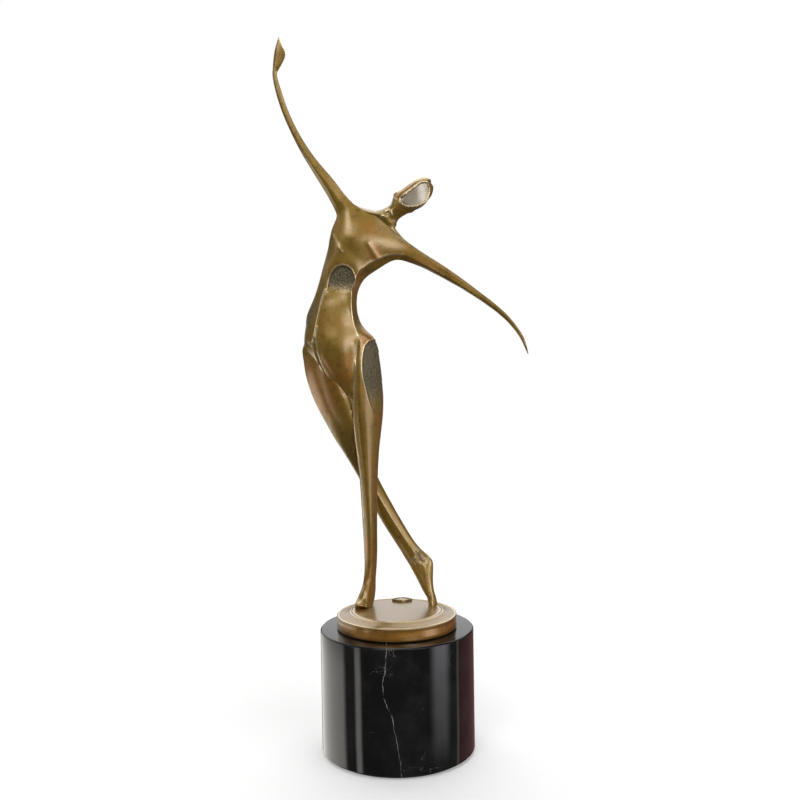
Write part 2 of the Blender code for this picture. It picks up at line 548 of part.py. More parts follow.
def apart(mesh):
    """The mesh's separate bodies, each as a list of vertex indices."""
    linked = [[] for _ in mesh.vertices]
    for edge in mesh.edges:
        first, second = edge.vertices
        linked[first].append(second)
        linked[second].append(first)
    seen = set()
    bodies = []
    for start in range(len(linked)):
        if start in seen:
            continue
        seen.add(start)
        body = [start]
        for index in body:
            fresh = [other for other in linked[index] if other not in seen]
            seen.update(fresh)
            body.extend(fresh)
        bodies.append(body)
    return bodies


def part_of(mesh, keep, name):
    bm = bmesh.new()
    bm.from_mesh(mesh)
    bm.verts.ensure_lookup_table()
    kept = set(keep)
    others = [vert for vert in bm.verts if vert.index not in kept]
    bmesh.ops.delete(bm, geom=others, context="VERTS")
    made = bpy.data.meshes.new(name)
    bm.to_mesh(made)
    bm.free()
    return made


def foot_stud_frame(foot):
    (x, y), _ = FOOT_STUDS[foot]
    return Matrix.Translation((x * UNIT, y * UNIT, 0.0))


def make_figure(parts, cutters, bronze, steel):
    """The dancer, sawn at its welds into castings that are pinned together by dowels."""
    body = subdivided("body_form", body_cage(), cutters, SURFACE_LEVELS)
    crossing = subdivided("crossing_form", crossing_leg_cage(), cutters, SURFACE_LEVELS)
    cut(body, crossing, "UNION")

    floor = cylinder_mesh("sole_cut", 2 * PLATE_RADIUS, PLATE_TOP - PLATE_RADIUS,
                          PLATE_TOP + TOUCH_GAP, SMALL_SEGMENTS)
    cut(body, as_cutter(add_object("sole_cut", floor, cutters)))
    for name, (middle, normal, half_sizes) in WELDS.items():
        cut(body, placed_box(name + "_weld", middle, normal, half_sizes, TOUCH_GAP, cutters))
        diameter, length = DOWELS[name]
        frame = weld_frame(normal, DOWEL_MIDDLES[name])
        placed_cylinder(name + "_dowel", frame, diameter / 2, length / 2, parts, steel)
        bore = placed_cylinder(name + "_bore", frame, diameter / 2 + BORE_GAP,
                               length / 2 + BORE_GAP, cutters)
        cut(body, as_cutter(bore))
    for foot, (_, depth) in FOOT_STUDS.items():
        radius = FOOT_STUD_DIAMETER / 2 + BORE_GAP
        mesh = cylinder_mesh(foot + "_bore", radius, PLATE_TOP - TOUCH_GAP,
                             PLATE_TOP + depth * UNIT + BORE_GAP, SMALL_SEGMENTS)
        bore = add_object(foot + "_bore", mesh, cutters)
        bore.matrix_world = foot_stud_frame(foot)
        cut(body, as_cutter(bore))

    whole = evaluated_mesh(body)
    castings = apart(whole)
    for name, seed in CAST_SEEDS.items():
        place = in_metres(seed)
        nearest = min(castings, key=lambda ids: min((whole.vertices[i].co - place).length for i in ids))
        mesh = part_of(whole, nearest, name)
        smooth_round_faces(mesh, math.radians(40))
        add_object(name, mesh, parts, bronze)


def plate_profile():
    """From the middle of the top, out over the rim, down and back in under the plate."""
    radius = PLATE_RADIUS
    groove = PLATE_GROOVE_RADIUS
    top = PLATE_TOP
    rim = PLATE_BOTTOM + PLATE_RIM_HEIGHT
    hollow = radius - PLATE_WALL
    boss = PLATE_BOSS_DIAMETER / 2
    round_over = PLATE_RIM_HEIGHT * 0.2
    return [
        (0.0, top),
        (groove - 0.0006, top),
        (groove, top - PLATE_GROOVE_DEPTH),
        (groove + 0.0006, top - 0.0001),
        (radius - 0.0028, rim + round_over * 0.7),
        (radius - 0.0010, rim),
        (radius - 0.0002, rim - round_over),
        (radius, rim - 2 * round_over),
        (radius, PLATE_BOTTOM + 0.0006),
        (radius - 0.0006, PLATE_BOTTOM),
        (hollow, PLATE_BOTTOM),
        (hollow, PLATE_CEILING - 0.0012),
        (hollow - 0.0012, PLATE_CEILING),
        (boss, PLATE_CEILING),
        (boss, PLATE_BOTTOM),
        (0.0, PLATE_BOTTOM),
    ]


def make_plate(parts, cutters, bronze):
    plate = baked(turned("base_plate", plate_profile(), parts, bronze), parts, bronze)
    stud_radius = CENTRE_STUD_DIAMETER / 2
    bore_top = PLATE_CEILING + STUD_INTO_PLATE_TOP
    mesh = cylinder_mesh("boss_bore", stud_radius + BORE_GAP, PLATE_BOTTOM - TOUCH_GAP,
                         bore_top + BORE_GAP, SMALL_SEGMENTS)
    cut(plate, as_cutter(add_object("boss_bore", mesh, cutters)))
    for foot in FOOT_STUDS:
        radius = FOOT_STUD_DIAMETER / 2 + STUD_HOLE_GAP / 2
        mesh = cylinder_mesh(foot + "_hole", radius, PLATE_CEILING - TOUCH_GAP,
                             PLATE_TOP + TOUCH_GAP, SMALL_SEGMENTS)
        hole = add_object(foot + "_hole", mesh, cutters)
        hole.matrix_world = foot_stud_frame(foot)
        cut(plate, as_cutter(hole))


def make_seal(parts, bronze):
    """A blank lozenge set on the plate, behind the dancer."""
    bm = bmesh.new()
    bmesh.ops.create_cone(bm, cap_ends=True, segments=4, radius1=0.5, radius2=0.5, depth=1.0)
    bm.transform(Matrix.Diagonal((SEAL_LENGTH, SEAL_WIDTH, SEAL_THICKNESS, 1.0)))
    seal = add_object("foundry_seal", mesh_from(bm, "foundry_seal"), parts, bronze)
    from_middle = PLATE_GROOVE_RADIUS - SEAL_TO_GROOVE - SEAL_WIDTH / 2
    seal.location = (0.0038, from_middle, PLATE_TOP + TOUCH_GAP + SEAL_THICKNESS / 2)
    edge = seal.modifiers.new("soft_edge", "BEVEL")
    edge.width = SEAL_THICKNESS * 0.25
    edge.segments = 2


def hexagon(name, stud_diameter, bottom, parts, cutters, steel):
    """A nut: a hexagon with chamfered faces and a bore that clears its stud."""
    height = stud_diameter * NUT_HEIGHT_TO_STUD
    across = stud_diameter * NUT_WIDTH_TO_STUD
    mesh = cylinder_mesh(name, across / math.sqrt(3), bottom, bottom + height, 6)
    nut = add_object(name, mesh, parts, steel)
    edge = nut.modifiers.new("chamfer", "BEVEL")
    edge.width = height * 0.08
    bore = cylinder_mesh(name + "_bore", stud_diameter / 2 + BORE_GAP, bottom - height,
                         bottom + 2 * height, SMALL_SEGMENTS)
    bore_cutter = as_cutter(add_object(name + "_bore", bore, cutters))
    cut(nut, bore_cutter)
    return nut, bore_cutter


def washer(name, inner, outer, bottom, thickness, parts, finish):
    profile = [
        (inner, bottom + thickness),
        (outer, bottom + thickness),
        (outer, bottom),
        (inner, bottom),
        (inner, bottom + thickness),
    ]
    made = turned(name, profile, parts, finish, SMALL_SEGMENTS)
    return baked(made, parts, finish)


def make_foot_fasteners(parts, cutters, steel):
    """Under the plate: each foot's stud with a washer and a nut."""
    radius = FOOT_STUD_DIAMETER / 2
    washer_bottom = PLATE_CEILING - TOUCH_GAP - WASHER_THICKNESS
    nut_height = FOOT_STUD_DIAMETER * NUT_HEIGHT_TO_STUD
    nut_bottom = washer_bottom - TOUCH_GAP - nut_height
    for foot, (_, depth) in FOOT_STUDS.items():
        frame = foot_stud_frame(foot)
        stud = cylinder_mesh(foot + "_stud", radius, nut_bottom - TOUCH_GAP, PLATE_TOP + depth * UNIT,
                             SMALL_SEGMENTS)
        smooth_round_faces(stud)
        add_object(foot + "_stud", stud, parts, steel).matrix_world = frame
        ring = washer(foot + "_washer", radius + BORE_GAP, radius * WASHER_WIDTH_TO_STUD,
                      washer_bottom, WASHER_THICKNESS, parts, steel)
        ring.matrix_world = frame
        nut, bore = hexagon(foot + "_nut", FOOT_STUD_DIAMETER, nut_bottom, parts, cutters, steel)
        nut.matrix_world = frame
        bore.matrix_world = frame


def make_centre_fasteners(parts, cutters, steel):
    """The stud through the marble, with its washers and nut; returns the counterbore's depth."""
    radius = CENTRE_STUD_DIAMETER / 2
    nut_height = CENTRE_STUD_DIAMETER * NUT_HEIGHT_TO_STUD
    stack = CENTRE_WASHER_THICKNESS + CENTRE_LOCK_WASHER_THICKNESS + nut_height + 3 * TOUCH_GAP
    depth = stack + STUD_PAST_NUT + COUNTERBORE_SPARE_DEPTH
    marble_bottom = FELT_THICKNESS + TOUCH_GAP
    seat = marble_bottom + depth
    washer_bottom = seat - TOUCH_GAP - CENTRE_WASHER_THICKNESS
    lock_bottom = washer_bottom - TOUCH_GAP - CENTRE_LOCK_WASHER_THICKNESS
    nut_bottom = lock_bottom - TOUCH_GAP - nut_height

    washer("plinth_washer", radius + BORE_GAP, CENTRE_WASHER_DIAMETER / 2, washer_bottom,
           CENTRE_WASHER_THICKNESS, parts, steel)
    lock_outer = radius * NUT_WIDTH_TO_STUD
    lock = washer("plinth_lock_washer", radius + BORE_GAP, lock_outer, lock_bottom,
                  CENTRE_LOCK_WASHER_THICKNESS, parts, steel)
    bm = bmesh.new()
    bmesh.ops.create_cube(bm, size=1.0)
    bm.transform(Matrix.Diagonal((lock_outer * 2, radius * 0.3, lock_outer, 1.0)))
    slot = as_cutter(add_object("lock_slot", mesh_from(bm, "lock_slot"), cutters))
    slot.location = (lock_outer, 0.0, lock_bottom)
    cut(lock, slot)
    hexagon("plinth_nut", CENTRE_STUD_DIAMETER, nut_bottom, parts, cutters, steel)
    stud = cylinder_mesh("centre_stud", radius, nut_bottom - STUD_PAST_NUT,
                         PLATE_CEILING + STUD_INTO_PLATE_TOP, SMALL_SEGMENTS)
    smooth_round_faces(stud)
    add_object("centre_stud", stud, parts, steel)
    return depth


def make_plinth(parts, counterbore_depth, marble, felt):
    """The marble cylinder, bored for the stud and counterbored below, and its felt pad."""
    radius = PLINTH_DIAMETER / 2
    chamfer = PLINTH_EDGE_CHAMFER
    bottom = FELT_THICKNESS + TOUCH_GAP
    seat = bottom + counterbore_depth
    hole = (CENTRE_STUD_DIAMETER + STUD_HOLE_GAP) / 2
    counterbore = (CENTRE_WASHER_DIAMETER + COUNTERBORE_WIDER_BY) / 2
    profile = [
        (hole, PLINTH_TOP),
        (radius - chamfer, PLINTH_TOP),
        (radius, PLINTH_TOP - chamfer),
        (radius, bottom + chamfer),
        (radius - chamfer, bottom),
        (counterbore, bottom),
        (counterbore, seat),
        (hole, seat),
        (hole, PLINTH_TOP),
    ]
    baked(turned("marble_plinth", profile, parts, marble), parts, marble)
    pad = cylinder_mesh("felt_pad", FELT_DIAMETER / 2, 0.0, FELT_THICKNESS)
    add_object("felt_pad", pad, parts, felt)


def main():
    for old in list(bpy.data.objects):
        bpy.data.objects.remove(old)
    parts = collection("bronze_statuette")
    cutters = collection("cutters", hidden=True)
    figure_bronze = material("patinated_bronze", (0.20, 0.115, 0.042), 0.34, 1.0)
    plate_bronze = material("plate_bronze", (0.235, 0.14, 0.055), 0.36, 1.0)
    marble = material("black_marble", (0.012, 0.011, 0.011), 0.12, 0.0)
    felt = material("green_felt", (0.018, 0.045, 0.028), 0.95, 0.0)
    steel = material("zinc_steel", (0.50, 0.50, 0.49), 0.35, 1.0)
    make_figure(parts, cutters, figure_bronze, steel)
    make_plate(parts, cutters, plate_bronze)
    make_seal(parts, plate_bronze)
    make_foot_fasteners(parts, cutters, steel)
    counterbore_depth = make_centre_fasteners(parts, cutters, steel)
    make_plinth(parts, counterbore_depth, marble, felt)


main()
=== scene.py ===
import math

import bpy
import numpy as np
from mathutils import Matrix, Vector, noise


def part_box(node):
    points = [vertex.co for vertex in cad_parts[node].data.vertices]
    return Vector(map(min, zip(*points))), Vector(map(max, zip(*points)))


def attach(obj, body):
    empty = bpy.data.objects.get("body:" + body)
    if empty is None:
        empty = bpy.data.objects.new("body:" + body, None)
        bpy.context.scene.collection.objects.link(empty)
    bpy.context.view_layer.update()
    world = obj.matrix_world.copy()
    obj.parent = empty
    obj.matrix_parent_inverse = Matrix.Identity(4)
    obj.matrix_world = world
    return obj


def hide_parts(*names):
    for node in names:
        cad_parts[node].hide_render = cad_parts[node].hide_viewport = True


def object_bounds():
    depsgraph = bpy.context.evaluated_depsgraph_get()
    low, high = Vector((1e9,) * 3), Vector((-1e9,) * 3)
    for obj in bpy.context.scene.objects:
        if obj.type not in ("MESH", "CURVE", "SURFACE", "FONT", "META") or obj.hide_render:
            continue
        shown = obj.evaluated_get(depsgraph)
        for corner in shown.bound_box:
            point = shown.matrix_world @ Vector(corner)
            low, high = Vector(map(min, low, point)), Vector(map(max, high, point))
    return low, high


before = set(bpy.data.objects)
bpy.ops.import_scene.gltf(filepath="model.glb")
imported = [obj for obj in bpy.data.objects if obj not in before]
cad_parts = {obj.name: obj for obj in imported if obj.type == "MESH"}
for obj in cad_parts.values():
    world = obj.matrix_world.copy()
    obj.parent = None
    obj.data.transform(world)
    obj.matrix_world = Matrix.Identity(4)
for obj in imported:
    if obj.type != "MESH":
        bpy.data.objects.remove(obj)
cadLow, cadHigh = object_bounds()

# Bronze dancer on a round cast plate and a black marble drum.
# Metres, +Z up, the dancer faces -Y. The dancer's own tables are in millimetres above the plate.
plateLow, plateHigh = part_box("base_plate")
marbleLow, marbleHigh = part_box("marble_plinth")
plateTop = plateHigh.z
figureHeight = cadHigh.z - plateTop
cageHeight = 379.5
unit = figureHeight / cageHeight
print("frame loaded, figure", round(figureHeight * 1000, 1), "mm above the plate")


def deselectAll():
    if bpy.context.mode != "OBJECT":
        bpy.ops.object.mode_set(mode="OBJECT")
    bpy.ops.object.select_all(action="DESELECT")


def pickOnly(piece):
    deselectAll()
    piece.select_set(True)
    bpy.context.view_layer.objects.active = piece


def editAll(piece):
    pickOnly(piece)
    bpy.ops.object.mode_set(mode="EDIT")
    bpy.ops.mesh.select_all(action="SELECT")


def editPicked(piece, kind, picked):
    # kind is FACE or EDGE or VERT; picked is one True or False for each
    pickOnly(piece)
    bpy.ops.object.mode_set(mode="EDIT")
    bpy.ops.mesh.select_mode(type=kind)
    bpy.ops.mesh.select_all(action="DESELECT")
    bpy.ops.object.mode_set(mode="OBJECT")
    parts = {"FACE": piece.data.polygons, "EDGE": piece.data.edges, "VERT": piece.data.vertices}[kind]
    parts.foreach_set("select", np.asarray(picked, bool))
    bpy.ops.object.mode_set(mode="EDIT")


def leaveEdit():
    bpy.ops.object.mode_set(mode="OBJECT")


def applyModifiers(piece):
    pickOnly(piece)
    for modifier in list(piece.modifiers):
        bpy.ops.object.modifier_apply(modifier=modifier.name)


def applyPlace(piece):
    pickOnly(piece)
    bpy.ops.object.transform_apply(location=True, rotation=True, scale=True)


def smoothByAngle(piece, degrees=40):
    pickOnly(piece)
    bpy.ops.object.shade_smooth_by_angle(angle=math.radians(degrees))


def tidyShell(piece, threshold=1e-6):
    editAll(piece)
    bpy.ops.mesh.remove_doubles(threshold=threshold)
    bpy.ops.mesh.normals_make_consistent(inside=False)
    leaveEdit()


def finishPiece(piece, degrees, body, node):
    smoothByAngle(piece, degrees)
    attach(piece, body)
    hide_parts(node)
    return piece


def newPiece(name, mesh):
    piece = bpy.data.objects.new(name, mesh)
    bpy.context.scene.collection.objects.link(piece)
    return piece


def readPoints(mesh):
    points = np.empty(len(mesh.vertices) * 3)
    mesh.vertices.foreach_get("co", points)
    return points.reshape(-1, 3)


def readNormals(mesh):
    normals = np.empty(len(mesh.vertices) * 3)
    mesh.vertices.foreach_get("normal", normals)
    return normals.reshape(-1, 3)


def writePoints(mesh, points):
    mesh.vertices.foreach_set("co", points.ravel())
    mesh.update()


def faceCentres(mesh):
    centres = np.empty(len(mesh.polygons) * 3)
    mesh.polygons.foreach_get("center", centres)
    return centres.reshape(-1, 3)


def storeMasks(mesh, **masks):
    # what each point's patina is like, from 0 to 1, with one mask for painted shade and one for the face's painted
    # reflection; a mask that isn't given is zero
    for name in ("polish", "rough", "grime", "face", "warm"):
        values = masks.get(name, np.zeros(len(mesh.vertices)))
        mesh.attributes.new(name, "FLOAT", "POINT").data.foreach_set("value", np.clip(values, 0, 1))


def smoothStep(values, low, high):
    share = np.clip((values - low) / (high - low), 0, 1)
    return share * share * (3 - 2 * share)


def inMetres(points):
    return np.asarray(points, float) * unit + np.array([0, 0, plateTop])


def inCage(points):
    return (np.asarray(points, float) - np.array([0, 0, plateTop])) / unit


def noiseAt(points, size, seed=0.0):
    # smooth bumps about size across, from -1 to 1
    places = points / size + seed
    return np.array([noise.noise(Vector(place)) for place in places])


def turnedShell(name, profile, steps):
    # a closed outline of radius and height spun about the upright axis
    mesh = bpy.data.meshes.new(name)
    points = [(radius, 0, height) for radius, height in profile]
    mesh.from_pydata(points, [(i, i + 1) for i in range(len(points) - 1)], [])
    piece = newPiece(name, mesh)
    editAll(piece)
    bpy.ops.mesh.spin(steps=steps, angle=2 * math.pi, center=(0, 0, 0), axis=(0, 0, 1))
    leaveEdit()
    tidyShell(piece)
    return piece


def roundedCorner(before, corner, after, radius, steps=5):
    # points of the arc that rounds one corner of an outline
    here = Vector(corner)
    first = (Vector(before) - here).normalized()
    last = (Vector(after) - here).normalized()
    half = first.angle(last) / 2
    reach = radius / math.tan(half)
    middle = here + (first + last).normalized() * (radius / math.sin(half))
    start = here + first * reach - middle
    end = here + last * reach - middle
    sweep = start.angle_signed(end)
    turned = [start.copy() for _ in range(steps + 1)]
    for step, arm in enumerate(turned):
        arm.rotate(Matrix.Rotation(-sweep * step / steps, 2))
    return [tuple(middle + arm) for arm in turned]


def roundedOutline(corners):
    # each corner is radius, height and how far it is rounded
    outline = []
    for i, (radius, height, rounding) in enumerate(corners):
        if rounding == 0 or i in (0, len(corners) - 1):
            outline.append((radius, height))
        else:
            outline += roundedCorner(corners[i - 1][:2], (radius, height), corners[i + 1][:2], rounding)
    return outline


# Each torso row: seven points across the front from the dancer's right to left,
# then how far back its middle goes and how deep the spine is.
torsoRows = [
    ([(-41.4, 12, 238.6), (-35.8, 5.6, 238.8), (-30.4, 4.2, 237.0), (-23.0, 4.2, 233.2),
      (-16.5, 5.4, 225.5), (-13.6, 8, 223.8), (-10.2, 12, 223.0)], 20.5, 1.2),
    ([(-45.0, 12, 226.0), (-41.2, 5.2, 223.6), (-35.0, 4.2, 226.8), (-28.0, 4.2, 226.0),
      (-21.8, 4.2, 221.0), (-20.2, 7.2, 219.5), (-16.6, 12, 218.4)], 20.0, 1.4),
    ([(-48.6, 12, 213.5), (-43.2, 4.8, 212.8), (-37.2, 5.6, 212.8), (-30.4, 5.6, 212.6),
      (-25.2, 4.2, 212.2), (-23.3, 7.4, 212.0), (-21.2, 12.2, 212.0)], 19.5, 1.4),
    ([(-53.0, 12.8, 202.0), (-46.2, 4.4, 201.6), (-40.0, 3.4, 201.4), (-32.4, 3.4, 201.4),
      (-26.4, 3.6, 201.4), (-24.8, 7.2, 201.6), (-23.2, 12.4, 202.0)], 20.2, 1.2),
    ([(-57.2, 13.4, 188.5), (-49.8, 3.8, 187.8), (-41.6, 1.2, 187.4), (-32.2, 1.0, 187.2),
      (-24.8, 2.8, 187.2), (-22.4, 6.4, 187.4), (-20.4, 12.2, 188.0)], 22.0, 0.9),
    ([(-58.4, 14.0, 177.5), (-51.8, 3.8, 175.8), (-42.2, -0.8, 175.8), (-31.0, -1.0, 176.4),
      (-22.6, 1.6, 177.8), (-17.8, 3.6, 178.6), (-11.8, 11.4, 178.4)], 24.0, 0.8),
    ([(-57.0, 15.0, 168.0), (-48.8, 3.4, 165.6), (-39.8, -0.8, 165.8), (-30.2, -1.2, 166.2),
      (-23.8, 1.2, 166.8), (-18.6, 1.8, 167.4), (-8.4, 12.0, 167.0)], 25.0, 1.2),
    ([(-48.6, 16.5, 153.5), (-41.8, 4.4, 153.2), (-35.4, 0.4, 153.6), (-29.2, 0.0, 154.0),
      (-24.4, 1.0, 154.4), (-18.4, 0.8, 154.4), (-7.2, 12.6, 153.8)], 25.0, 1.4),
    ([(-36.4, 18.0, 139.0), (-33.0, 8.0, 140.5), (-30.2, 4.0, 141.4), (-27.4, 2.8, 142.0),
      (-25.4, 2.6, 142.4), (-18.6, 1.2, 142.2), (-6.7, 13.2, 141.0)], 24.0, 0.6),
    ([(-28.6, 18.6, 124.5), (-28.4, 12.0, 125.6), (-27.6, 8.0, 126.4), (-26.9, 5.6, 127.0),
      (-26.0, 4.2, 127.4), (-18.4, 2.2, 127.6), (-7.4, 13.4, 127.0)], 22.8, 0.0),
    ([(-24.4, 18.8, 109.5), (-25.6, 15.0, 110.4), (-26.0, 11.8, 110.9), (-25.9, 9.2, 111.2),
      (-25.4, 6.8, 111.4), (-18.0, 4.2, 111.8), (-9.4, 13.2, 111.2)], 20.6, 0.0),
    ([(-22.2, 18.0, 88.0), (-23.2, 15.4, 88.4), (-23.5, 12.8, 88.6), (-23.3, 10.6, 88.8),
      (-22.6, 8.4, 89.0), (-17.4, 6.0, 89.0), (-11.2, 13.0, 88.6)], 19.2, 0.0),
    ([(-20.6, 19.6, 57.0), (-21.7, 17.4, 57.2), (-22.0, 15.2, 57.4), (-21.8, 13.2, 57.6),
      (-21.0, 11.2, 57.6), (-16.6, 8.4, 57.6), (-12.2, 15.2, 57.4)], 21.6, 0.0),
    ([(-20.0, 21.6, 32.0), (-20.9, 19.8, 32.2), (-21.2, 18.0, 32.3), (-21.0, 16.2, 32.4),
      (-20.4, 14.6, 32.4), (-16.8, 12.4, 32.4), (-12.6, 18.0, 32.2)], 22.8, 0.0),
    ([(-20.0, 23.6, 17.5), (-21.0, 21.6, 17.8), (-21.6, 19.4, 18.0), (-21.6, 17.2, 18.2),
      (-21.0, 15.2, 18.2), (-18.0, 13.4, 18.2), (-13.8, 19.0, 18.0)], 24.6, 0.0),
]
# the standing foot goes on from the ankle to the toes
standingFootRows = [
    ([(-20.4, 25.0, 9.5), (-22.0, 22.4, 10.2), (-23.0, 19.0, 11.0), (-23.0, 15.6, 11.8),
      (-22.0, 12.6, 12.6), (-18.2, 11.6, 12.8), (-14.0, 19.0, 11.0)], 26.4, 0.0),
    ([(-20.6, 25.4, 2.6), (-22.8, 21.4, 3.6), (-24.6, 16.0, 5.2), (-25.2, 11.4, 7.2),
      (-23.6, 8.2, 8.2), (-18.8, 8.2, 7.8), (-14.6, 16.0, 4.8)], 26.8, 0.0),
    ([(-21.6, 23.0, -1.5), (-24.8, 16.0, -1.5), (-27.0, 9.4, 1.8), (-26.6, 6.0, 4.4),
      (-24.0, 4.2, 4.8), (-19.4, 5.4, 4.2), (-15.6, 11.4, 1.2)], 22.0, 0.0),
    ([(-23.4, 14.0, -2.2), (-25.8, 7.4, -1.8), (-26.6, 4.0, 0.2), (-25.4, 1.8, 2.2),
      (-23.2, 1.2, 2.4), (-20.2, 2.8, 1.8), (-17.2, 7.0, -0.6)], 12.0, 0.0),
]
# the chest row below the arms: seven points in front, five behind
chestRow = ([(-39.0, 12.0, 248.5), (-37.6, 8.6, 248.0), (-28.0, 4.6, 247.4), (-15.0, 4.4, 242.5),
              (-5.6, 6.8, 231.2), (-3.6, 9.4, 229.2), (-1.4, 12.0, 228.2)],
             [(-6.4, 19.0, 233.0), (-9.6, 20.0, 238.0), (-17.0, 20.6, 243.0), (-27.0, 20.0, 247.0),
              (-35.0, 18.0, 248.6)])
shoulders = [(-18.2, 9.2, 261.2), (-9.4, 9.2, 257.8)]
shouldersBack = [(-17.6, 18.6, 263.4), (-8.8, 18.8, 261.2)]
# raised arm: outer edge, ridge, front, inner edge, two behind
raisedArmRings = [
    [(-35.4, 12, 258.6), (-34.0, 9.8, 259.2), (-28.6, 8.4, 262.2), (-23.6, 10.4, 266.4),
     (-27.6, 16.8, 264.0), (-32.2, 17.2, 260.8)],
    [(-38.0, 12.0, 266.4), (-36.2, 9.6, 267.2), (-33.0, 9.0, 269.4), (-29.9, 10.6, 273.2),
     (-32.4, 15.8, 270.8), (-35.6, 16.2, 268.2)],
    [(-45.8, 12.4, 280.4), (-43.6, 9.9, 280.8), (-41.0, 9.7, 281.8), (-37.3, 11.2, 283.2),
     (-40.4, 15.2, 282.6), (-43.4, 15.4, 281.4)],
    [(-55.0, 13.4, 295.8), (-53.2, 10.9, 295.8), (-51.4, 10.9, 296.4), (-48.5, 12.4, 297.0),
     (-51.0, 15.6, 296.8), (-53.2, 15.7, 296.2)],
    [(-63.2, 14.8, 311.6), (-61.8, 12.6, 311.6), (-60.4, 12.6, 312.0), (-58.4, 13.9, 312.4),
     (-60.2, 16.4, 312.2), (-61.8, 16.6, 311.8)],
    [(-70.2, 16.4, 328.0), (-69.0, 14.5, 328.0), (-67.6, 14.5, 328.2), (-65.9, 15.6, 328.6),
     (-67.4, 17.7, 328.4), (-69.0, 17.8, 328.2)],
    [(-74.6, 17.8, 342.6), (-73.5, 16.1, 342.6), (-72.2, 16.1, 342.8), (-70.8, 17.0, 343.0),
     (-72.0, 18.9, 342.9), (-73.4, 19.0, 342.7)],
    [(-76.6, 18.8, 353.0), (-75.6, 17.3, 353.0), (-74.6, 17.3, 353.0), (-73.4, 18.1, 353.2),
     (-74.4, 19.7, 353.1), (-75.6, 19.8, 353.0)],
    [(-76.5, 19.4, 358.4), (-75.3, 17.9, 358.4), (-73.9, 17.7, 358.2), (-71.6, 17.5, 358.0),
     (-73.8, 19.7, 358.2), (-75.2, 20.0, 358.3)],
    [(-75.8, 19.8, 365.2), (-74.3, 18.4, 365.2), (-71.6, 17.6, 365.2), (-67.6, 16.4, 365.8),
     (-71.8, 18.9, 365.3), (-74.2, 19.9, 365.2)],
    [(-74.7, 20.1, 371.4), (-73.7, 19.1, 371.4), (-72.2, 18.7, 371.4), (-69.4, 18.0, 371.8),
     (-72.4, 19.5, 371.4), (-73.7, 20.1, 371.4)],
    [(-73.0, 20.4, 377.2), (-72.6, 20.0, 377.4), (-72.2, 19.9, 377.6), (-71.2, 19.8, 378.0),
     (-72.0, 20.3, 377.7), (-72.6, 20.5, 377.4)],
    [(-72.3, 20.5, 379.2), (-72.2, 20.3, 379.3), (-72.0, 20.3, 379.4), (-71.8, 20.3, 379.5),
     (-72.0, 20.5, 379.4), (-72.2, 20.6, 379.3)],
]
# lowered arm: top edge, front, lower ridge, under plane, lower edge, three behind
loweredArmRings = [
    [(7.4, 11.0, 244.4), (7.8, 8.7, 241.0), (7.4, 8.3, 232.8), (7.0, 10.2, 230.6), (6.6, 13.0, 229.6),
     (7.0, 16.4, 231.4), (7.6, 18.0, 236.0), (7.4, 16.2, 242.0)],
    [(21.3, 10.0, 234.0), (21.4, 7.8, 231.5), (20.6, 7.6, 226.6), (20.2, 9.2, 225.4), (19.6, 12.0, 224.9),
     (20.2, 14.4, 226.4), (21.0, 15.0, 229.4), (21.3, 12.9, 232.6)],
    [(36.6, 9.2, 223.7), (36.4, 7.3, 221.7), (35.5, 7.4, 218.0), (35.1, 8.9, 217.1), (34.7, 11.2, 216.8),
     (35.3, 12.8, 218.2), (36.0, 13.0, 220.4), (36.6, 11.4, 222.6)],
    [(51.0, 8.4, 213.0), (50.6, 6.9, 211.6), (49.8, 6.8, 209.0), (49.4, 8.2, 208.4), (49.2, 9.9, 208.2),
     (49.7, 11.0, 209.4), (50.3, 11.1, 210.9), (50.9, 9.9, 212.3)],
    [(64.3, 7.2, 202.4), (63.7, 5.8, 200.8), (63.1, 6.1, 199.5), (62.7, 7.1, 199.1), (62.5, 8.3, 198.9),
     (63.0, 9.2, 199.7), (63.6, 9.2, 200.8), (64.2, 8.3, 201.9)],
    [(74.9, 5.9, 192.8), (74.3, 4.8, 191.9), (73.6, 5.0, 191.0), (73.1, 5.8, 190.7), (72.8, 6.7, 190.5),
     (73.4, 7.4, 191.1), (74.1, 7.4, 192.0), (74.8, 6.7, 192.6)],
    [(82.6, 4.4, 183.0), (81.9, 3.6, 182.4), (81.3, 3.8, 181.8), (80.9, 4.3, 181.5), (80.6, 5.0, 181.3),
     (81.1, 5.6, 181.7), (81.8, 5.6, 182.3), (82.5, 5.0, 182.9)],
    [(86.6, 3.0, 175.0), (86.0, 2.4, 174.7), (85.5, 2.5, 174.3), (85.1, 2.9, 174.0), (84.9, 3.4, 173.9),
     (85.3, 3.8, 174.2), (85.9, 3.8, 174.6), (86.5, 3.4, 174.9)],
    [(88.4, 1.9, 167.6), (88.2, 1.6, 167.6), (88.0, 1.6, 167.5), (87.8, 1.8, 167.4), (87.6, 2.0, 167.4),
     (87.8, 2.2, 167.4), (88.0, 2.2, 167.5), (88.2, 2.1, 167.6)],
]
# neck: right side, two in front, left side, two behind
neckRings = [
    [(-15.0, 13.6, 263.2), (-10.4, 9.0, 260.6), (-3.6, 8.8, 256.8), (3.4, 12.2, 251.8),
     (-0.6, 18.2, 256.6), (-8.4, 18.2, 262.0)],
    [(-7.0, 14.6, 263.2), (-4.4, 9.8, 260.8), (0.2, 9.4, 257.4), (4.4, 13.6, 254.8),
     (1.6, 18.2, 258.2), (-3.4, 18.4, 262.2)],
    [(0.2, 13.8, 266.8), (0.8, 9.4, 263.6), (4.0, 9.2, 260.2), (7.0, 13.2, 257.8),
     (4.8, 17.6, 261.2), (0.8, 17.8, 265.4)],
]
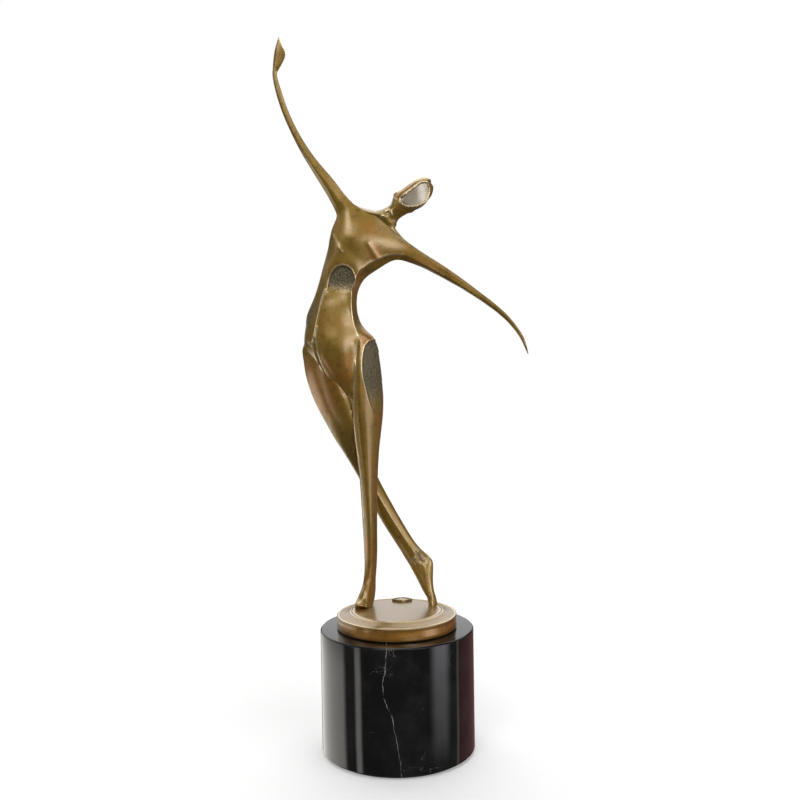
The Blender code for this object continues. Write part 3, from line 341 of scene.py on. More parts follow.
# head: crown edge, two along the face, jaw edge, two behind
headRings = [
    [(1.9, 12.6, 271.6), (4.6, 8.4, 266.8), (7.6, 8.2, 262.8), (12.0, 12.4, 260.3),
     (9.8, 17.2, 264.2), (5.0, 17.6, 269.6)],
    [(6.0, 12.2, 275.0), (7.0, 7.6, 270.0), (9.6, 7.2, 264.4), (15.8, 12.0, 261.8),
     (14.4, 18.0, 266.4), (8.2, 18.4, 273.4)],
    [(10.8, 12.0, 278.2), (13.2, 6.8, 274.2), (15.0, 6.4, 263.2), (21.0, 12.0, 264.4),
     (19.8, 18.4, 269.2), (14.0, 18.6, 277.0)],
    [(17.0, 12.0, 282.2), (18.8, 7.0, 278.4), (20.6, 6.8, 265.2), (25.0, 12.0, 268.6),
     (24.4, 17.4, 272.6), (19.6, 17.6, 279.8)],
    [(22.6, 12.0, 283.7), (23.4, 8.4, 280.4), (24.8, 8.0, 268.8), (28.0, 12.0, 273.2),
     (26.8, 15.6, 275.6), (24.0, 15.8, 281.4)],
    [(26.2, 12.0, 282.8), (25.9, 10.2, 280.8), (26.6, 9.8, 275.6), (28.3, 12.0, 278.2),
     (27.6, 13.6, 279.2), (26.9, 13.7, 281.6)],
]
# crossing leg: right and left sides, how far front and back stand out, where the shin ridge runs
crossingLegRows = [
    ((-54.5, 14.0, 184.0), (-40.0, 14.0, 180.0), 7.0, 7.0, 0.45),
    ((-58.6, 14.0, 175.5), (-35.5, 10.0, 165.0), 8.0, 9.2, 0.52),
    ((-59.4, 14.2, 165.5), (-29.5, 9.0, 150.8), 8.0, 10.0, 0.56),
    ((-57.4, 14.8, 152.0), (-24.0, 9.6, 137.0), 8.0, 9.8, 0.60),
    ((-52.0, 15.8, 136.0), (-20.6, 11.2, 124.6), 7.8, 8.8, 0.62),
    ((-44.2, 17.6, 120.0), (-18.2, 14.6, 113.2), 7.4, 7.8, 0.60),
    ((-35.6, 22.4, 104.0), (-17.4, 25.6, 100.0), 6.8, 6.6, 0.48),
    ((-27.0, 27.4, 88.6), (-12.6, 28.4, 86.6), 5.4, 5.8, 0.50),
    ((-18.4, 29.2, 71.6), (-6.0, 29.2, 73.2), 5.0, 5.6, 0.55),
    ((-9.8, 28.4, 54.8), (1.5, 28.4, 59.2), 4.8, 6.0, 0.60),
    ((-0.8, 26.2, 40.6), (9.2, 26.2, 46.0), 4.3, 5.2, 0.62),
    ((5.2, 24.0, 31.0), (16.0, 23.6, 36.6), 3.9, 4.4, 0.62),
    ((9.0, 22.0, 25.0), (22.0, 21.4, 31.2), 3.9, 4.2, 0.60),
    ((12.2, 19.6, 19.2), (25.0, 18.8, 26.0), 4.0, 4.2, 0.56),
    ((15.6, 17.2, 12.8), (24.8, 16.0, 17.6), 4.2, 4.0, 0.52),
    ((19.0, 14.4, 6.6), (25.2, 13.4, 9.4), 4.2, 3.6, 0.50),
    ((20.8, 12.6, 3.2), (26.6, 11.8, 4.4), 4.0, 3.4, 0.50),
    ((21.6, 12.0, -1.5), (27.2, 11.4, -1.5), 3.6, 3.0, 0.50),
]

dancer = {
    "fitRounds": 8,
    "fitStep": 0.9,
    "levels": 4,
    "ridgeCrease": 0.82,
    "armCrease": 0.8,
    "shinCrease": 0.7,
    "faceCrease": 0.9,
    "flankCrease": 0.45,
    "unevenSize": 0.009,        # hand-worked surface: bump width and height, in metres
    "unevenHeight": 0.00011,
    "fineSize": 0.0032,
    "fineHeight": 0.00003,
    "soleSunk": 0.0002,
}


def torsoRing(front, backDepth, groove):
    first, last = Vector(front[0]), Vector(front[-1])
    behind = []
    for step in range(5, 0, -1):
        share = step / 6
        point = first.lerp(last, share)
        point.y += (backDepth - point.y) * math.sin(math.pi * share) ** 0.6
        point.y -= groove if step == 3 else 0
        behind.append(tuple(point))
    return list(front) + behind


def legRing(right, left, front, back, ridge):
    first, last = Vector(right), Vector(left)
    ring = [right]
    for share, standsOut in ((ridge * 0.42, 0.74), (ridge, 1), (1 - (1 - ridge) * 0.42, 0.70)):
        point = first.lerp(last, share)
        ring.append((point.x, point.y - front * standsOut, point.z))
    ring.append(left)
    for share, standsOut in ((0.84, 0.74), (0.5, 1), (0.16, 0.74)):
        point = first.lerp(last, share)
        ring.append((point.x, point.y + back * standsOut, point.z))
    return ring


class Cage:
    # a coarse mesh drawn ring by ring, with its ridges marked
    def __init__(self):
        self.points = []
        self.faces = []
        self.ridges = {}

    def ring(self, points):
        start = len(self.points)
        self.points += [tuple(point) for point in points]
        return list(range(start, len(self.points)))

    def tube(self, rings):
        for lower, upper in zip(rings, rings[1:]):
            for i in range(len(lower)):
                j = (i + 1) % len(lower)
                self.faces.append((lower[i], lower[j], upper[j], upper[i]))

    def cap(self, ring):
        count = len(ring)
        for i in range(count // 2 - 1):
            self.faces.append((ring[i], ring[i + 1], ring[count - 2 - i], ring[count - 1 - i]))

    def ridge(self, rings, column, sharpness):
        for lower, upper in zip(rings, rings[1:]):
            self.ridges[frozenset((lower[column], upper[column]))] = sharpness

    def build(self, name):
        mesh = bpy.data.meshes.new(name)
        mesh.from_pydata(inMetres(self.points).tolist(), [], self.faces)
        crease = mesh.attributes.new("crease_edge", "FLOAT", "EDGE")
        for edge in mesh.edges:
            crease.data[edge.index].value = self.ridges.get(frozenset(edge.vertices), 0)
        piece = newPiece(name, mesh)
        editAll(piece)
        bpy.ops.mesh.normals_make_consistent(inside=False)
        leaveEdit()
        return piece


def joinChest(cage, chest, arm, shoulderLine, shoulderLineBack, lowered):
    front = chest[:7]
    back = [chest[0]] + chest[:6:-1] + [chest[6]]
    raisedBack = [arm[0], arm[5], arm[4], arm[3]]
    loweredBack = [lowered[0]] + lowered[:4:-1] + [lowered[4]]
    sides = ((front, arm[:4], lowered[:5], shoulderLine),
             (back, raisedBack, loweredBack, shoulderLineBack))
    for row, raised, low, (near, far) in sides:
        cage.faces += [
            (row[0], row[1], raised[1], raised[0]),
            (row[1], row[2], raised[2], raised[1]),
            (row[2], near, raised[3], raised[2]),
            (row[2], row[3], far, near),
            (row[3], low[1], far),
            (low[1], low[0], far),
            (row[3], row[4], low[2], low[1]),
            (row[4], row[5], low[3], low[2]),
            (row[5], row[6], low[4], low[3]),
        ]


def bodyCage():
    cage = Cage()
    torso = [cage.ring(torsoRing(*row)) for row in torsoRows + standingFootRows]
    chest = cage.ring(chestRow[0] + chestRow[1])
    spine = [chest] + torso
    cage.tube(spine)
    cage.cap(torso[-1])
    raised = [cage.ring(ring) for ring in raisedArmRings]
    cage.tube(raised)
    cage.cap(raised[-1])
    lowered = [cage.ring(ring) for ring in loweredArmRings]
    cage.tube(lowered)
    cage.cap(lowered[-1])
    line = cage.ring(shoulders)
    lineBack = cage.ring(shouldersBack)
    joinChest(cage, chest, raised[0], line, lineBack, lowered[0])
    collar = [raised[0][3], *line, lowered[0][0], lineBack[1], lineBack[0]]
    neck = [collar] + [cage.ring(ring) for ring in neckRings + headRings]
    cage.tube(neck)
    cage.cap(neck[-1])

    ridgeCrease, armCrease = dancer["ridgeCrease"], dancer["armCrease"]
    cage.ridge(spine[1:8], 1, ridgeCrease)
    cage.ridge(spine[1:8], 4, ridgeCrease)
    cage.ridge(spine[:6], 0, dancer["flankCrease"])
    cage.ridge(spine[8:16], 4, dancer["shinCrease"])
    for column, sharpness in ((0, armCrease), (1, ridgeCrease), (3, armCrease)):
        cage.ridge(raised, column, sharpness)
    for column, sharpness in ((0, armCrease), (1, 0.5), (2, ridgeCrease), (4, armCrease)):
        cage.ridge(lowered, column, sharpness)
    # the armpit's edge runs on from the torso into the arm, and the arm's upper facet starts at the collar
    for first, second, sharpness in ((torso[0][4], chest[4], 0.9), (chest[4], lowered[0][2], 0.9),
                                     (line[1], lowered[0][1], 0.6)):
        cage.ridges[frozenset((first, second))] = sharpness
    for first, second in zip(collar[:3], collar[1:4]):
        cage.ridges[frozenset((first, second))] = 0.7
    head = neck[-len(headRings):]
    cage.ridge(head[1:], 1, dancer["faceCrease"])
    cage.ridge(head[1:], 2, dancer["faceCrease"])
    cage.ridge(head, 0, armCrease)
    cage.ridge(head, 3, armCrease)
    return cage.build("dancerBody")


def crossingLegCage():
    cage = Cage()
    rings = [cage.ring(legRing(*row)) for row in crossingLegRows]
    cage.tube(rings)
    cage.cap(rings[0])
    cage.cap(rings[-1])
    cage.ridge(rings[6:], 2, dancer["shinCrease"])
    cage.ridge(rings[1:7], 0, dancer["flankCrease"])
    return cage.build("crossingLegForm")


def fittedSurface(piece):
    # the cage's points move out until the smooth surface passes through where they were drawn
    surface = piece.modifiers.new("surface", "SUBSURF")
    surface.levels = 1
    surface.render_levels = 1
    surface.use_limit_surface = True
    wanted = readPoints(piece.data)
    for _ in range(dancer["fitRounds"]):
        bpy.context.view_layer.update()
        graph = bpy.context.evaluated_depsgraph_get()
        reached = bpy.data.meshes.new_from_object(piece.evaluated_get(graph))
        miss = wanted - readPoints(reached)[:len(wanted)]
        writePoints(piece.data, readPoints(piece.data) + miss * dancer["fitStep"])
        bpy.data.meshes.remove(reached)
    surface.levels = dancer["levels"]
    surface.render_levels = dancer["levels"]
    applyModifiers(piece)
    return piece


dancerForm = fittedSurface(bodyCage())
crossingForm = fittedSurface(crossingLegCage())
union = dancerForm.modifiers.new("thigh", "BOOLEAN")
union.operation = "UNION"
union.solver = "MANIFOLD"
union.object = crossingForm
applyModifiers(dancerForm)
bpy.data.objects.remove(crossingForm)
print("dancer's surface made,", len(dancerForm.data.polygons), "faces")

# The sculptor's tool lines, in millimetres above the plate: points, half width, height, polish. A sunk line is also
# darkened with painted shade, and the groin line's polish is a painted highlight.
toolLines = {
    "leftBellyRidge": ([(-43.7, 4.9, 210.3), (-45.8, 4.7, 203.7), (-47.9, 4.2, 195.7), (-49.7, 3.7, 187.7),
                        (-51.1, 3.8, 181.1), (-52.4, 4.6, 175.5)], 0.8, 0.22, 1.0),
    "rightBellyRidge": ([(-25.3, 5.0, 208.0), (-26.2, 3.9, 203.0), (-26.3, 3.4, 198.0), (-25.8, 3.1, 192.6),
                         (-24.0, 2.7, 185.3), (-22.4, 1.9, 180.0)], 0.8, 0.18, 0.8),
    "hipFold": ([(-57.6, 12.1, 178.5), (-54.9, 7.3, 176.1), (-52.5, 4.8, 174.0)], 0.8, 0.3, 0.7),
    "hipRidge": ([(-52.4, 4.5, 176.3), (-51.2, 4.6, 169.0), (-48.9, 4.5, 160.9), (-45.4, 5.0, 155.5),
                    (-41.2, 6.0, 150.9)], 0.8, 0.35, 0.9),
    "bellyLip": ([(-49.2, 3.0, 186.0), (-50.0, 2.8, 176.9), (-48.4, 2.2, 168.9), (-45.6, 3.4, 159.5),
                  (-40.7, 3.8, 152.8)], 0.8, 0.3, 0.8),
    "hipChannel": ([(-50.6, 3.6, 178.0), (-49.8, 3.2, 168.3), (-47.0, 4.4, 159.8), (-43.8, 5.2, 155.2),
                    (-40.7, 5.2, 151.6)], 1.0, -0.7, 0.0),
    "groin": ([(-40.8, 6.2, 150.7), (-36.2, 5.9, 146.0), (-32.9, 5.6, 142.6), (-31.0, 8.0, 137.6),
               (-30.0, 10.0, 130.2), (-28.2, 11.0, 123.3)], 1.5, -0.5, 0.0),
    "armpitFold": ([(-37.6, 8.2, 247.2), (-36.2, 6.4, 243.6), (-34.0, 4.8, 238.0), (-32.2, 4.3, 235.0)],
                   1.0, 0.2, 0.3),
    "armpitEdge": ([(-18.4, 4.6, 223.9), (-15.6, 5.2, 226.6), (-12.4, 5.8, 228.4), (-8.7, 6.4, 229.9),
                    (-5.5, 6.9, 231.3), (-1.8, 7.4, 232.2), (1.9, 7.9, 232.6), (7.4, 8.3, 232.8)], 0.8, 0.1, 0.5),
    "breastFold": ([(-14.5, 4.6, 240.0), (-12.0, 5.2, 235.5), (-9.0, 6.0, 230.9)], 1.8, 0.35, 0.15),
    "standingThigh": ([(-24.4, 0.9, 163.0), (-24.8, 1.2, 153.9), (-25.3, 2.1, 146.5), (-25.8, 3.0, 138.5),
                       (-26.0, 4.0, 129.1), (-25.7, 5.1, 121.7), (-24.8, 6.5, 111.5), (-23.8, 7.4, 101.9),
                       (-22.6, 8.4, 89.6), (-21.8, 9.4, 76.0), (-21.0, 11.0, 60.0)], 0.7, 0.12, 0.9),
    "collarCut1": ([(-6.4, 8.2, 257.0), (-4.6, 8.7, 258.5)], 0.8, 0.35, 1.0),
    "collarCut2": ([(-3.0, 10.0, 261.7), (-1.0, 9.7, 262.6)], 0.7, 0.3, 1.0),
    "collarCut3": ([(0.3, 9.1, 261.5), (0.9, 9.2, 259.1)], 0.7, 0.3, 1.0),
    "collarNotch": ([(-3.8, 9.0, 260.0), (-1.4, 9.2, 260.6)], 0.8, -0.35, 0.0),
    "napeNub": ([(3.4, 10.0, 269.8), (4.6, 9.2, 268.6)], 0.8, 0.4, 1.0),
    "crownEdge": ([(2.2, 12.0, 271.6), (6.0, 11.6, 275.0), (10.8, 11.2, 278.2), (17.0, 11.2, 282.2),
                   (22.6, 11.2, 283.7), (26.0, 11.6, 282.9)], 1.2, 0.0, 1.0),
    "crownRidge": ([(2.8, 9.6, 270.9), (6.4, 9.6, 273.6), (11.1, 9.0, 276.5), (14.6, 9.2, 278.9),
                    (18.8, 9.2, 281.0), (22.9, 9.8, 281.8)], 0.8, 0.4, 0.5),
    # a low ridge whose polish is a painted highlight, the bright streak down the groin
    "groinPaintedHighlight": ([(-25.6, 1.0, 174.0), (-24.6, 0.8, 166.0), (-24.4, 1.0, 157.0)], 1.5, 0.2, 0.45),
    "bigToe": ([(-21.0, 5.4, 6.6), (-20.6, 3.2, 4.4), (-20.3, 1.6, 1.6)], 0.7, -0.55, 0.0),
    "secondToe": ([(-18.4, 5.6, 5.8), (-17.9, 3.4, 3.6), (-17.6, 2.0, 1.4)], 0.55, -0.35, 0.0),
    "instep": ([(-20.8, 8.3, 9.8), (-21.8, 5.6, 7.2), (-23.6, 3.2, 5.0), (-25.0, 2.2, 3.0)], 1.0, 0.3, 0.7),
    "ankleHollow": ([(15.2, 19.6, 33.4), (17.6, 18.2, 29.4)], 2.2, -0.8, 0.0),
    "heel": ([(22.4, 18.6, 28.8), (22.8, 18.0, 26.0)], 1.8, 0.4, 0.5),
    "ankleBone": ([(12.9, 19.0, 29.6), (13.6, 18.6, 27.4)], 1.6, 0.35, 0.4),
    "archRidge": ([(20.4, 16.6, 24.0), (22.2, 13.6, 16.0), (23.6, 10.6, 8.0), (24.2, 9.4, 4.0)], 0.9, 0.3, 0.6),
}

# Rough hollows cast into the skin: outline seen from the front as x and z, and where each one fades out.
roughHollows = {
    "belly": {
        "outline": [(-41.9, 211.5), (-41.2, 215.8), (-40.2, 219.4), (-38.3, 222.8), (-35.5, 225.3), (-32.0, 226.2),
                    (-28.6, 225.4), (-25.7, 223.0), (-24.0, 219.4), (-23.7, 215.4), (-24.4, 211.5),
                    (-25.0, 205.0), (-43.6, 205.0)],
        "depth": 1.5, "wall": 1.1, "fadeFrom": 216.0, "fadeTo": 207.5, "grain": 0.34, "deepest": 16.0, "rim": 1.0,
    },
    "hip": {
        "outline": [(-12.8, 177.4), (-15.6, 176.2), (-17.9, 173.5), (-19.2, 169.1), (-19.9, 163.8), (-20.0, 157.1),
                    (-19.3, 151.8), (-18.0, 145.8), (-16.8, 140.4), (-15.2, 135.0), (-13.6, 130.3), (-11.5, 124.0),
                    (-2.0, 124.0), (-2.0, 176.0), (-9.5, 177.0)],
        "depth": 0.9, "wall": 0.9, "fadeFrom": 150.0, "fadeTo": 126.0, "grain": 0.24, "deepest": 17.0, "rim": 1.0,
    },
    "flank": {
        "outline": [(-52.0, 204.0), (-50.0, 200.0), (-51.2, 193.0), (-53.4, 186.5), (-56.0, 184.0),
                    (-57.6, 189.0), (-55.8, 197.0)],
        "depth": 0.12, "wall": 1.8, "fadeFrom": 188.0, "fadeTo": 183.0, "grain": 0.26, "deepest": 16.0, "rim": 0.0,
    },
}

# the recessed oval of the head, seen from the front; its paler grey colour is a painted reflection
faceOval = {
    "outline": [(6.6, 269.6), (9.8, 271.7), (13.4, 274.5), (16.9, 277.1), (19.9, 279.0), (22.8, 280.0), (24.9, 279.4),
                (25.9, 276.6), (25.9, 273.2), (25.0, 269.8), (23.4, 267.3), (21.2, 265.6), (18.2, 264.3), (14.4, 263.6),
                (10.6, 263.9), (8.2, 265.3), (6.4, 267.4)],
    "depth": 0.55,
    "wall": 0.5,
    "rim": 0.55,
}


def distanceToLine(points, line):
    # how far each point is from a run of straight pieces, in two or three dimensions
    nearest = np.full(len(points), 1e9)
    for start, end in zip(line, line[1:]):
        start, along = np.array(start, float), np.array(end, float) - np.array(start, float)
        share = np.clip((points - start) @ along / (along @ along), 0, 1)
        nearest = np.minimum(nearest, np.linalg.norm(points - start - share[:, None] * along, axis=1))
    return nearest


def insideOutline(places, outline):
    inside = np.zeros(len(places), bool)
    x, z = places[:, 0], places[:, 1]
    for (x0, z0), (x1, z1) in zip(outline, outline[1:] + outline[:1]):
        crosses = (z0 > z) != (z1 > z)
        with np.errstate(divide="ignore", invalid="ignore"):
            inside ^= crosses & (x < (x1 - x0) * (z - z0) / (z1 - z0) + x0)
    return inside


def depthInside(places, outline):
    # positive inside the outline, negative outside
    edge = distanceToLine(places, outline + outline[:1])
    return np.where(insideOutline(places, outline), edge, -edge)


def refineFaces(piece):
    # the places that carry fine relief get smaller faces
    centres = inCage(faceCentres(piece.data))
    normals = np.empty(len(centres) * 3)
    piece.data.polygons.foreach_get("normal", normals)
    faces = normals.reshape(-1, 3)
    fine = np.zeros(len(centres), bool)
    for line, width, _, _ in toolLines.values():
        fine |= distanceToLine(centres, line) < width + 1.2
    front = (faces[:, 1] < 0.25) & (centres[:, 1] < 18)
    for hollow in roughHollows.values():
        fine |= front & (depthInside(centres[:, [0, 2]], hollow["outline"]) > -1.2)
    fine |= front & (centres[:, 1] < 14) & (depthInside(centres[:, [0, 2]], faceOval["outline"]) > -1.2)
    editPicked(piece, "FACE", fine)
    bpy.ops.mesh.subdivide(number_cuts=1, smoothness=1, quadcorner="INNERVERT")
    leaveEdit()
    print("fine relief on", int(fine.sum()), "of", len(fine), "faces")


def wormy(points, size, seed):
    # branching ridges such as a hot tool leaves in wax
    bent = points + 0.35 * size * np.column_stack([noiseAt(points, size * 1.4, seed + k) for k in (3.1, 7.7, 12.9)])
    lines = 1 - np.abs(noiseAt(bent, size, seed)) * 3.2
    return np.clip(lines, -0.6, 1)


def carveRelief(piece):
    mesh = piece.data
    points = readPoints(mesh)
    normals = readNormals(mesh)
    places = inCage(points)
    lift = np.zeros(len(points))
    polish = np.zeros(len(points))
    rough = np.zeros(len(points))
    grime = np.zeros(len(points))
    for line, width, height, shine in toolLines.values():
        reach = distanceToLine(places, line)
        near = reach < width * 3
        bump = np.zeros(len(points))
        bump[near] = np.exp(-(reach[near] / width) ** 2)
        lift += bump * height
        if shine > 0:
            polish = np.maximum(polish, bump ** 1.4 * shine)
        else:
            # a sunk line is darkened along its groove: painted shade
            grime = np.maximum(grime, bump * min(1, -height * 1.6))

    flat = places[:, [0, 2]]
    for name, hollow in roughHollows.items():
        low, high = np.min(hollow["outline"], axis=0), np.max(hollow["outline"], axis=0)
        near = ((flat > low - 3) & (flat < high + 3)).all(axis=1) & (normals[:, 1] < 0.35) & (places[:, 1] < 20)
        here = np.flatnonzero(near)
        inside = depthInside(flat[here], hollow["outline"])
        fade = smoothStep(flat[here, 1], hollow["fadeTo"], hollow["fadeFrom"])
        side = 1 - smoothStep(places[here, 1], hollow["deepest"] - 4, hollow["deepest"])
        floor = smoothStep(inside, 0, hollow["wall"]) * fade * side
        grain = wormy(points[here], 0.0013, len(name)) * hollow["grain"] * floor
        lift[here] += grain - hollow["depth"] * floor
        rough[here] = np.maximum(rough[here], floor)
        # a bright rim where the wall begins, brightest at the top
        rim = np.exp(-((inside + 0.25) / 0.38) ** 2) * fade * side * hollow["rim"]
        lift[here] += rim * 0.16
        polish[here] = np.maximum(polish[here], rim)
        # a dark band just inside the rim, at the foot of the wall: painted shadow cast by the rim into the hollow
        rimShadow = np.exp(-((inside - 0.9) / 0.6) ** 2) * fade * side * 0.8 * hollow["rim"]
        grime[here] = np.maximum(grime[here], rimShadow)

    low, high = np.min(faceOval["outline"], axis=0), np.max(faceOval["outline"], axis=0)
    near = ((flat > low - 2) & (flat < high + 2)).all(axis=1) & (normals[:, 1] < -0.1) & (places[:, 1] < 13)
    here = np.flatnonzero(near)
    inside = depthInside(flat[here], faceOval["outline"])
    lift[here] -= faceOval["depth"] * smoothStep(inside, 0, faceOval["wall"])
    rim = np.exp(-((inside + 0.2) / faceOval["rim"]) ** 2)
    lift[here] += rim * 0.12
    polish[here] = np.maximum(polish[here], rim)
    # face marks the oval; its paler grey colour paints the reflection on the facet
    face = np.zeros(len(points))
    face[here] = smoothStep(inside, 0.2, 0.8)

    worked = noiseAt(points, dancer["unevenSize"], 4.0) * dancer["unevenHeight"]
    worked += noiseAt(points, dancer["fineSize"], 9.0) * dancer["fineHeight"]
    writePoints(mesh, points + normals * (lift * unit + worked * (1 - face))[:, None])
    return polish, rough, grime, face


# how sharply the skin bends, per metre, where an edge starts to wear bright or a fold starts to get painted shade
wear = {
    "edgeFrom": 170,
    "edgeTo": 620,
    "foldFrom": 120,
    "foldTo": 600,
    "armBend": 260,
    "rounds": 2,
    "armRounds": 12,
}


def curvature(mesh):
    # how much the skin stands out at each point: above zero on ridges, below zero in folds
    points = readPoints(mesh)
    normals = readNormals(mesh)
    ends = np.empty(len(mesh.edges) * 2, int)
    mesh.edges.foreach_get("vertices", ends)
    ends = ends.reshape(-1, 2)
    bend = np.zeros(len(points))
    count = np.zeros(len(points))
    for first, second in ((0, 1), (1, 0)):
        here, there = ends[:, first], ends[:, second]
        reach = points[there] - points[here]
        away = np.einsum("ij,ij->i", reach, normals[here])
        np.add.at(bend, here, -away / np.maximum((reach * reach).sum(axis=1), 1e-12))
        np.add.at(count, here, 1)
    bend /= np.maximum(count, 1)
    # the arms' mesh is finer, so they're averaged more
    places = inCage(points)
    arms = np.maximum(smoothStep(places[:, 2], 266, 286) * (places[:, 0] < -30),
                      smoothStep(places[:, 0], 30, 40))
    for turn in range(wear["armRounds"]):
        before = bend
        total, weight = bend.copy(), np.ones(len(points))
        for first, second in ((0, 1), (1, 0)):
            np.add.at(total, ends[:, first], bend[ends[:, second]])
            np.add.at(weight, ends[:, first], 1)
        bend = total / weight
        if turn >= wear["rounds"]:
            bend = before + (bend - before) * arms
    # a thin arm bends everywhere, which isn't wear
    return np.where(bend > 0, np.maximum(bend - wear["armBend"] * arms, 0), bend)


# where the torch brought up the warm brown: middle, half sizes and strength
warmPatches = [
    ((-48.0, 8.0, 142.0), (17.0, 20.0, 30.0), 1.0),     # crossing thigh
    ((-31.0, 0.0, 158.0), (8.0, 12.0, 14.0), 0.8),      # below the belly
    ((-12.0, 6.0, 250.0), (10.0, 8.0, 6.0), 0.9),       # under the collar
    ((-12.0, 6.0, 234.0), (7.0, 8.0, 8.0), 0.8),        # by the armpit
    ((-22.0, 5.0, 218.0), (5.0, 8.0, 6.0), 0.9),
    ((-45.0, 10.0, 224.0), (6.0, 8.0, 12.0), 0.7),      # flank
    ((-16.0, 4.0, 178.0), (6.0, 8.0, 9.0), 0.9),        # hip
    ((-21.0, 14.0, 25.0), (7.0, 20.0, 26.0), 0.8),      # shin and foot
    ((30.0, 8.0, 222.0), (26.0, 10.0, 10.0), 0.5),      # lowered arm
    ((10.0, 10.0, 273.0), (9.0, 6.0, 6.0), 0.8),        # brow
]


def warmth(piece):
    places = inCage(readPoints(piece.data))
    warm = np.zeros(len(places))
    for middle, halfSizes, strength in warmPatches:
        reach = np.linalg.norm((places - np.array(middle)) / np.array(halfSizes), axis=1)
        warm = np.maximum(warm, smoothStep(reach, 1.15, 0.45) * strength)
    return warm


refineFaces(dancerForm)
polish, rough, grime, face = carveRelief(dancerForm)
bend = curvature(dancerForm.data)
edges = smoothStep(bend, wear["edgeFrom"], wear["edgeTo"]) * (1 - rough)
# concave folds are darkened: painted shade in the creases
paintedShading = smoothStep(-bend, wear["foldFrom"], wear["foldTo"])
storeMasks(dancerForm.data, polish=np.maximum(polish, edges), rough=rough, grime=np.maximum(grime, paintedShading),
           face=face, warm=warmth(dancerForm))
print("relief carved")

# Welds: where each casting was joined, the cut's direction and half sizes, in millimetres.
welds = {
    "neck": ((3.2, 13.2, 262.6), (0.62, -0.1, 0.78), (11.0, 11.0)),
    "raisedArm": ((-34.0, 12.0, 269.2), (-0.55, 0.0, 0.83), (12.0, 14.0)),
    "loweredArm": ((16.0, 10.4, 232.4), (0.86, 0.0, -0.50), (14.0, 16.0)),
    "standingLeg": ((-17.6, 9.2, 90.0), (0.0, 0.0, 1.0), (12.0, 11.0)),
    "crossingLeg": ((-21.4, 32.5, 90.8), (0.50, 0.0, -0.87), (12.0, 12.0)),
}
castings = {
    "head": (20.0, 12.0, 274.0),
    "raised_arm": (-68.0, 16.0, 328.0),
    "lowered_arm": (64.0, 7.5, 200.5),
    "standing_leg": (-17.0, 15.0, 50.0),
    "crossing_leg": (4.0, 25.0, 43.0),
    "torso": (-35.0, 12.0, 190.0),
}


def cutSoles(piece):
    editAll(piece)
    bpy.ops.mesh.bisect(plane_co=(0, 0, plateTop - dancer["soleSunk"]), plane_no=(0, 0, 1), clear_inner=True,
                        use_fill=True)
    leaveEdit()


def sawWeld(piece, middle, normal, halfSizes):
    along = Vector(normal).normalized()
    side = Vector((0, 1, 0)).cross(along).normalized()
    across = along.cross(side)
    away = inCage(faceCentres(piece.data)) - np.array(middle)
    picked = (np.abs(away @ np.array(side)) < halfSizes[0]) & (np.abs(away @ np.array(across)) < halfSizes[1])
    picked &= np.abs(away @ np.array(along)) < 3
    editPicked(piece, "FACE", picked)
    bpy.ops.mesh.bisect(plane_co=inMetres(middle), plane_no=along)
    bpy.ops.mesh.edge_split(type="EDGE")
    leaveEdit()


cutSoles(dancerForm)
for weld in welds.values():
    sawWeld(dancerForm, *weld)
pickOnly(dancerForm)
bpy.ops.object.mode_set(mode="EDIT")
bpy.ops.mesh.separate(type="LOOSE")
leaveEdit()
loose = list(bpy.context.selected_objects)
print("sawn into", len(loose), "castings:", [len(piece.data.polygons) for piece in loose])


def closeCuts(piece):
    # fills the sawn ends, so that each casting is a closed body
    editAll(piece)
    bpy.ops.mesh.select_mode(type="EDGE")
    bpy.ops.mesh.select_all(action="DESELECT")
    bpy.ops.mesh.select_non_manifold(extend=False, use_wire=False, use_multi_face=False,
                                     use_non_contiguous=False, use_verts=False)
    bpy.ops.mesh.edge_face_add()
    bpy.ops.mesh.select_mode(type="FACE")
    leaveEdit()


for piece in loose:
    closeCuts(piece)
    corners = inCage(readPoints(piece.data))
    nearest = min(castings, key=lambda name: np.linalg.norm(corners - np.array(castings[name]), axis=1).min())
    piece.name = "bronze_" + nearest
    piece.data.name = piece.name
    piece.data.materials.clear()
    finishPiece(piece, 48, "figure", nearest)
dancerPieces = sorted(loose, key=lambda piece: piece.name)
print("castings:", [piece.name for piece in dancerPieces])

basePlate = {
    "radius": (plateHigh.x - plateLow.x) / 2,
    "rimHeight": 0.0078,        # up to the bright bead
    "wall": 0.0036,
    "boss": 0.008,
    "grooveToEdge": 0.0098,
    "grooveWidth": 0.0007,
    "grooveDepth": 0.00055,
    "beadRadius": 0.0011,
    "ringDip": 0.00035,         # the sloping ring is a little hollow
    "segments": 192,
}


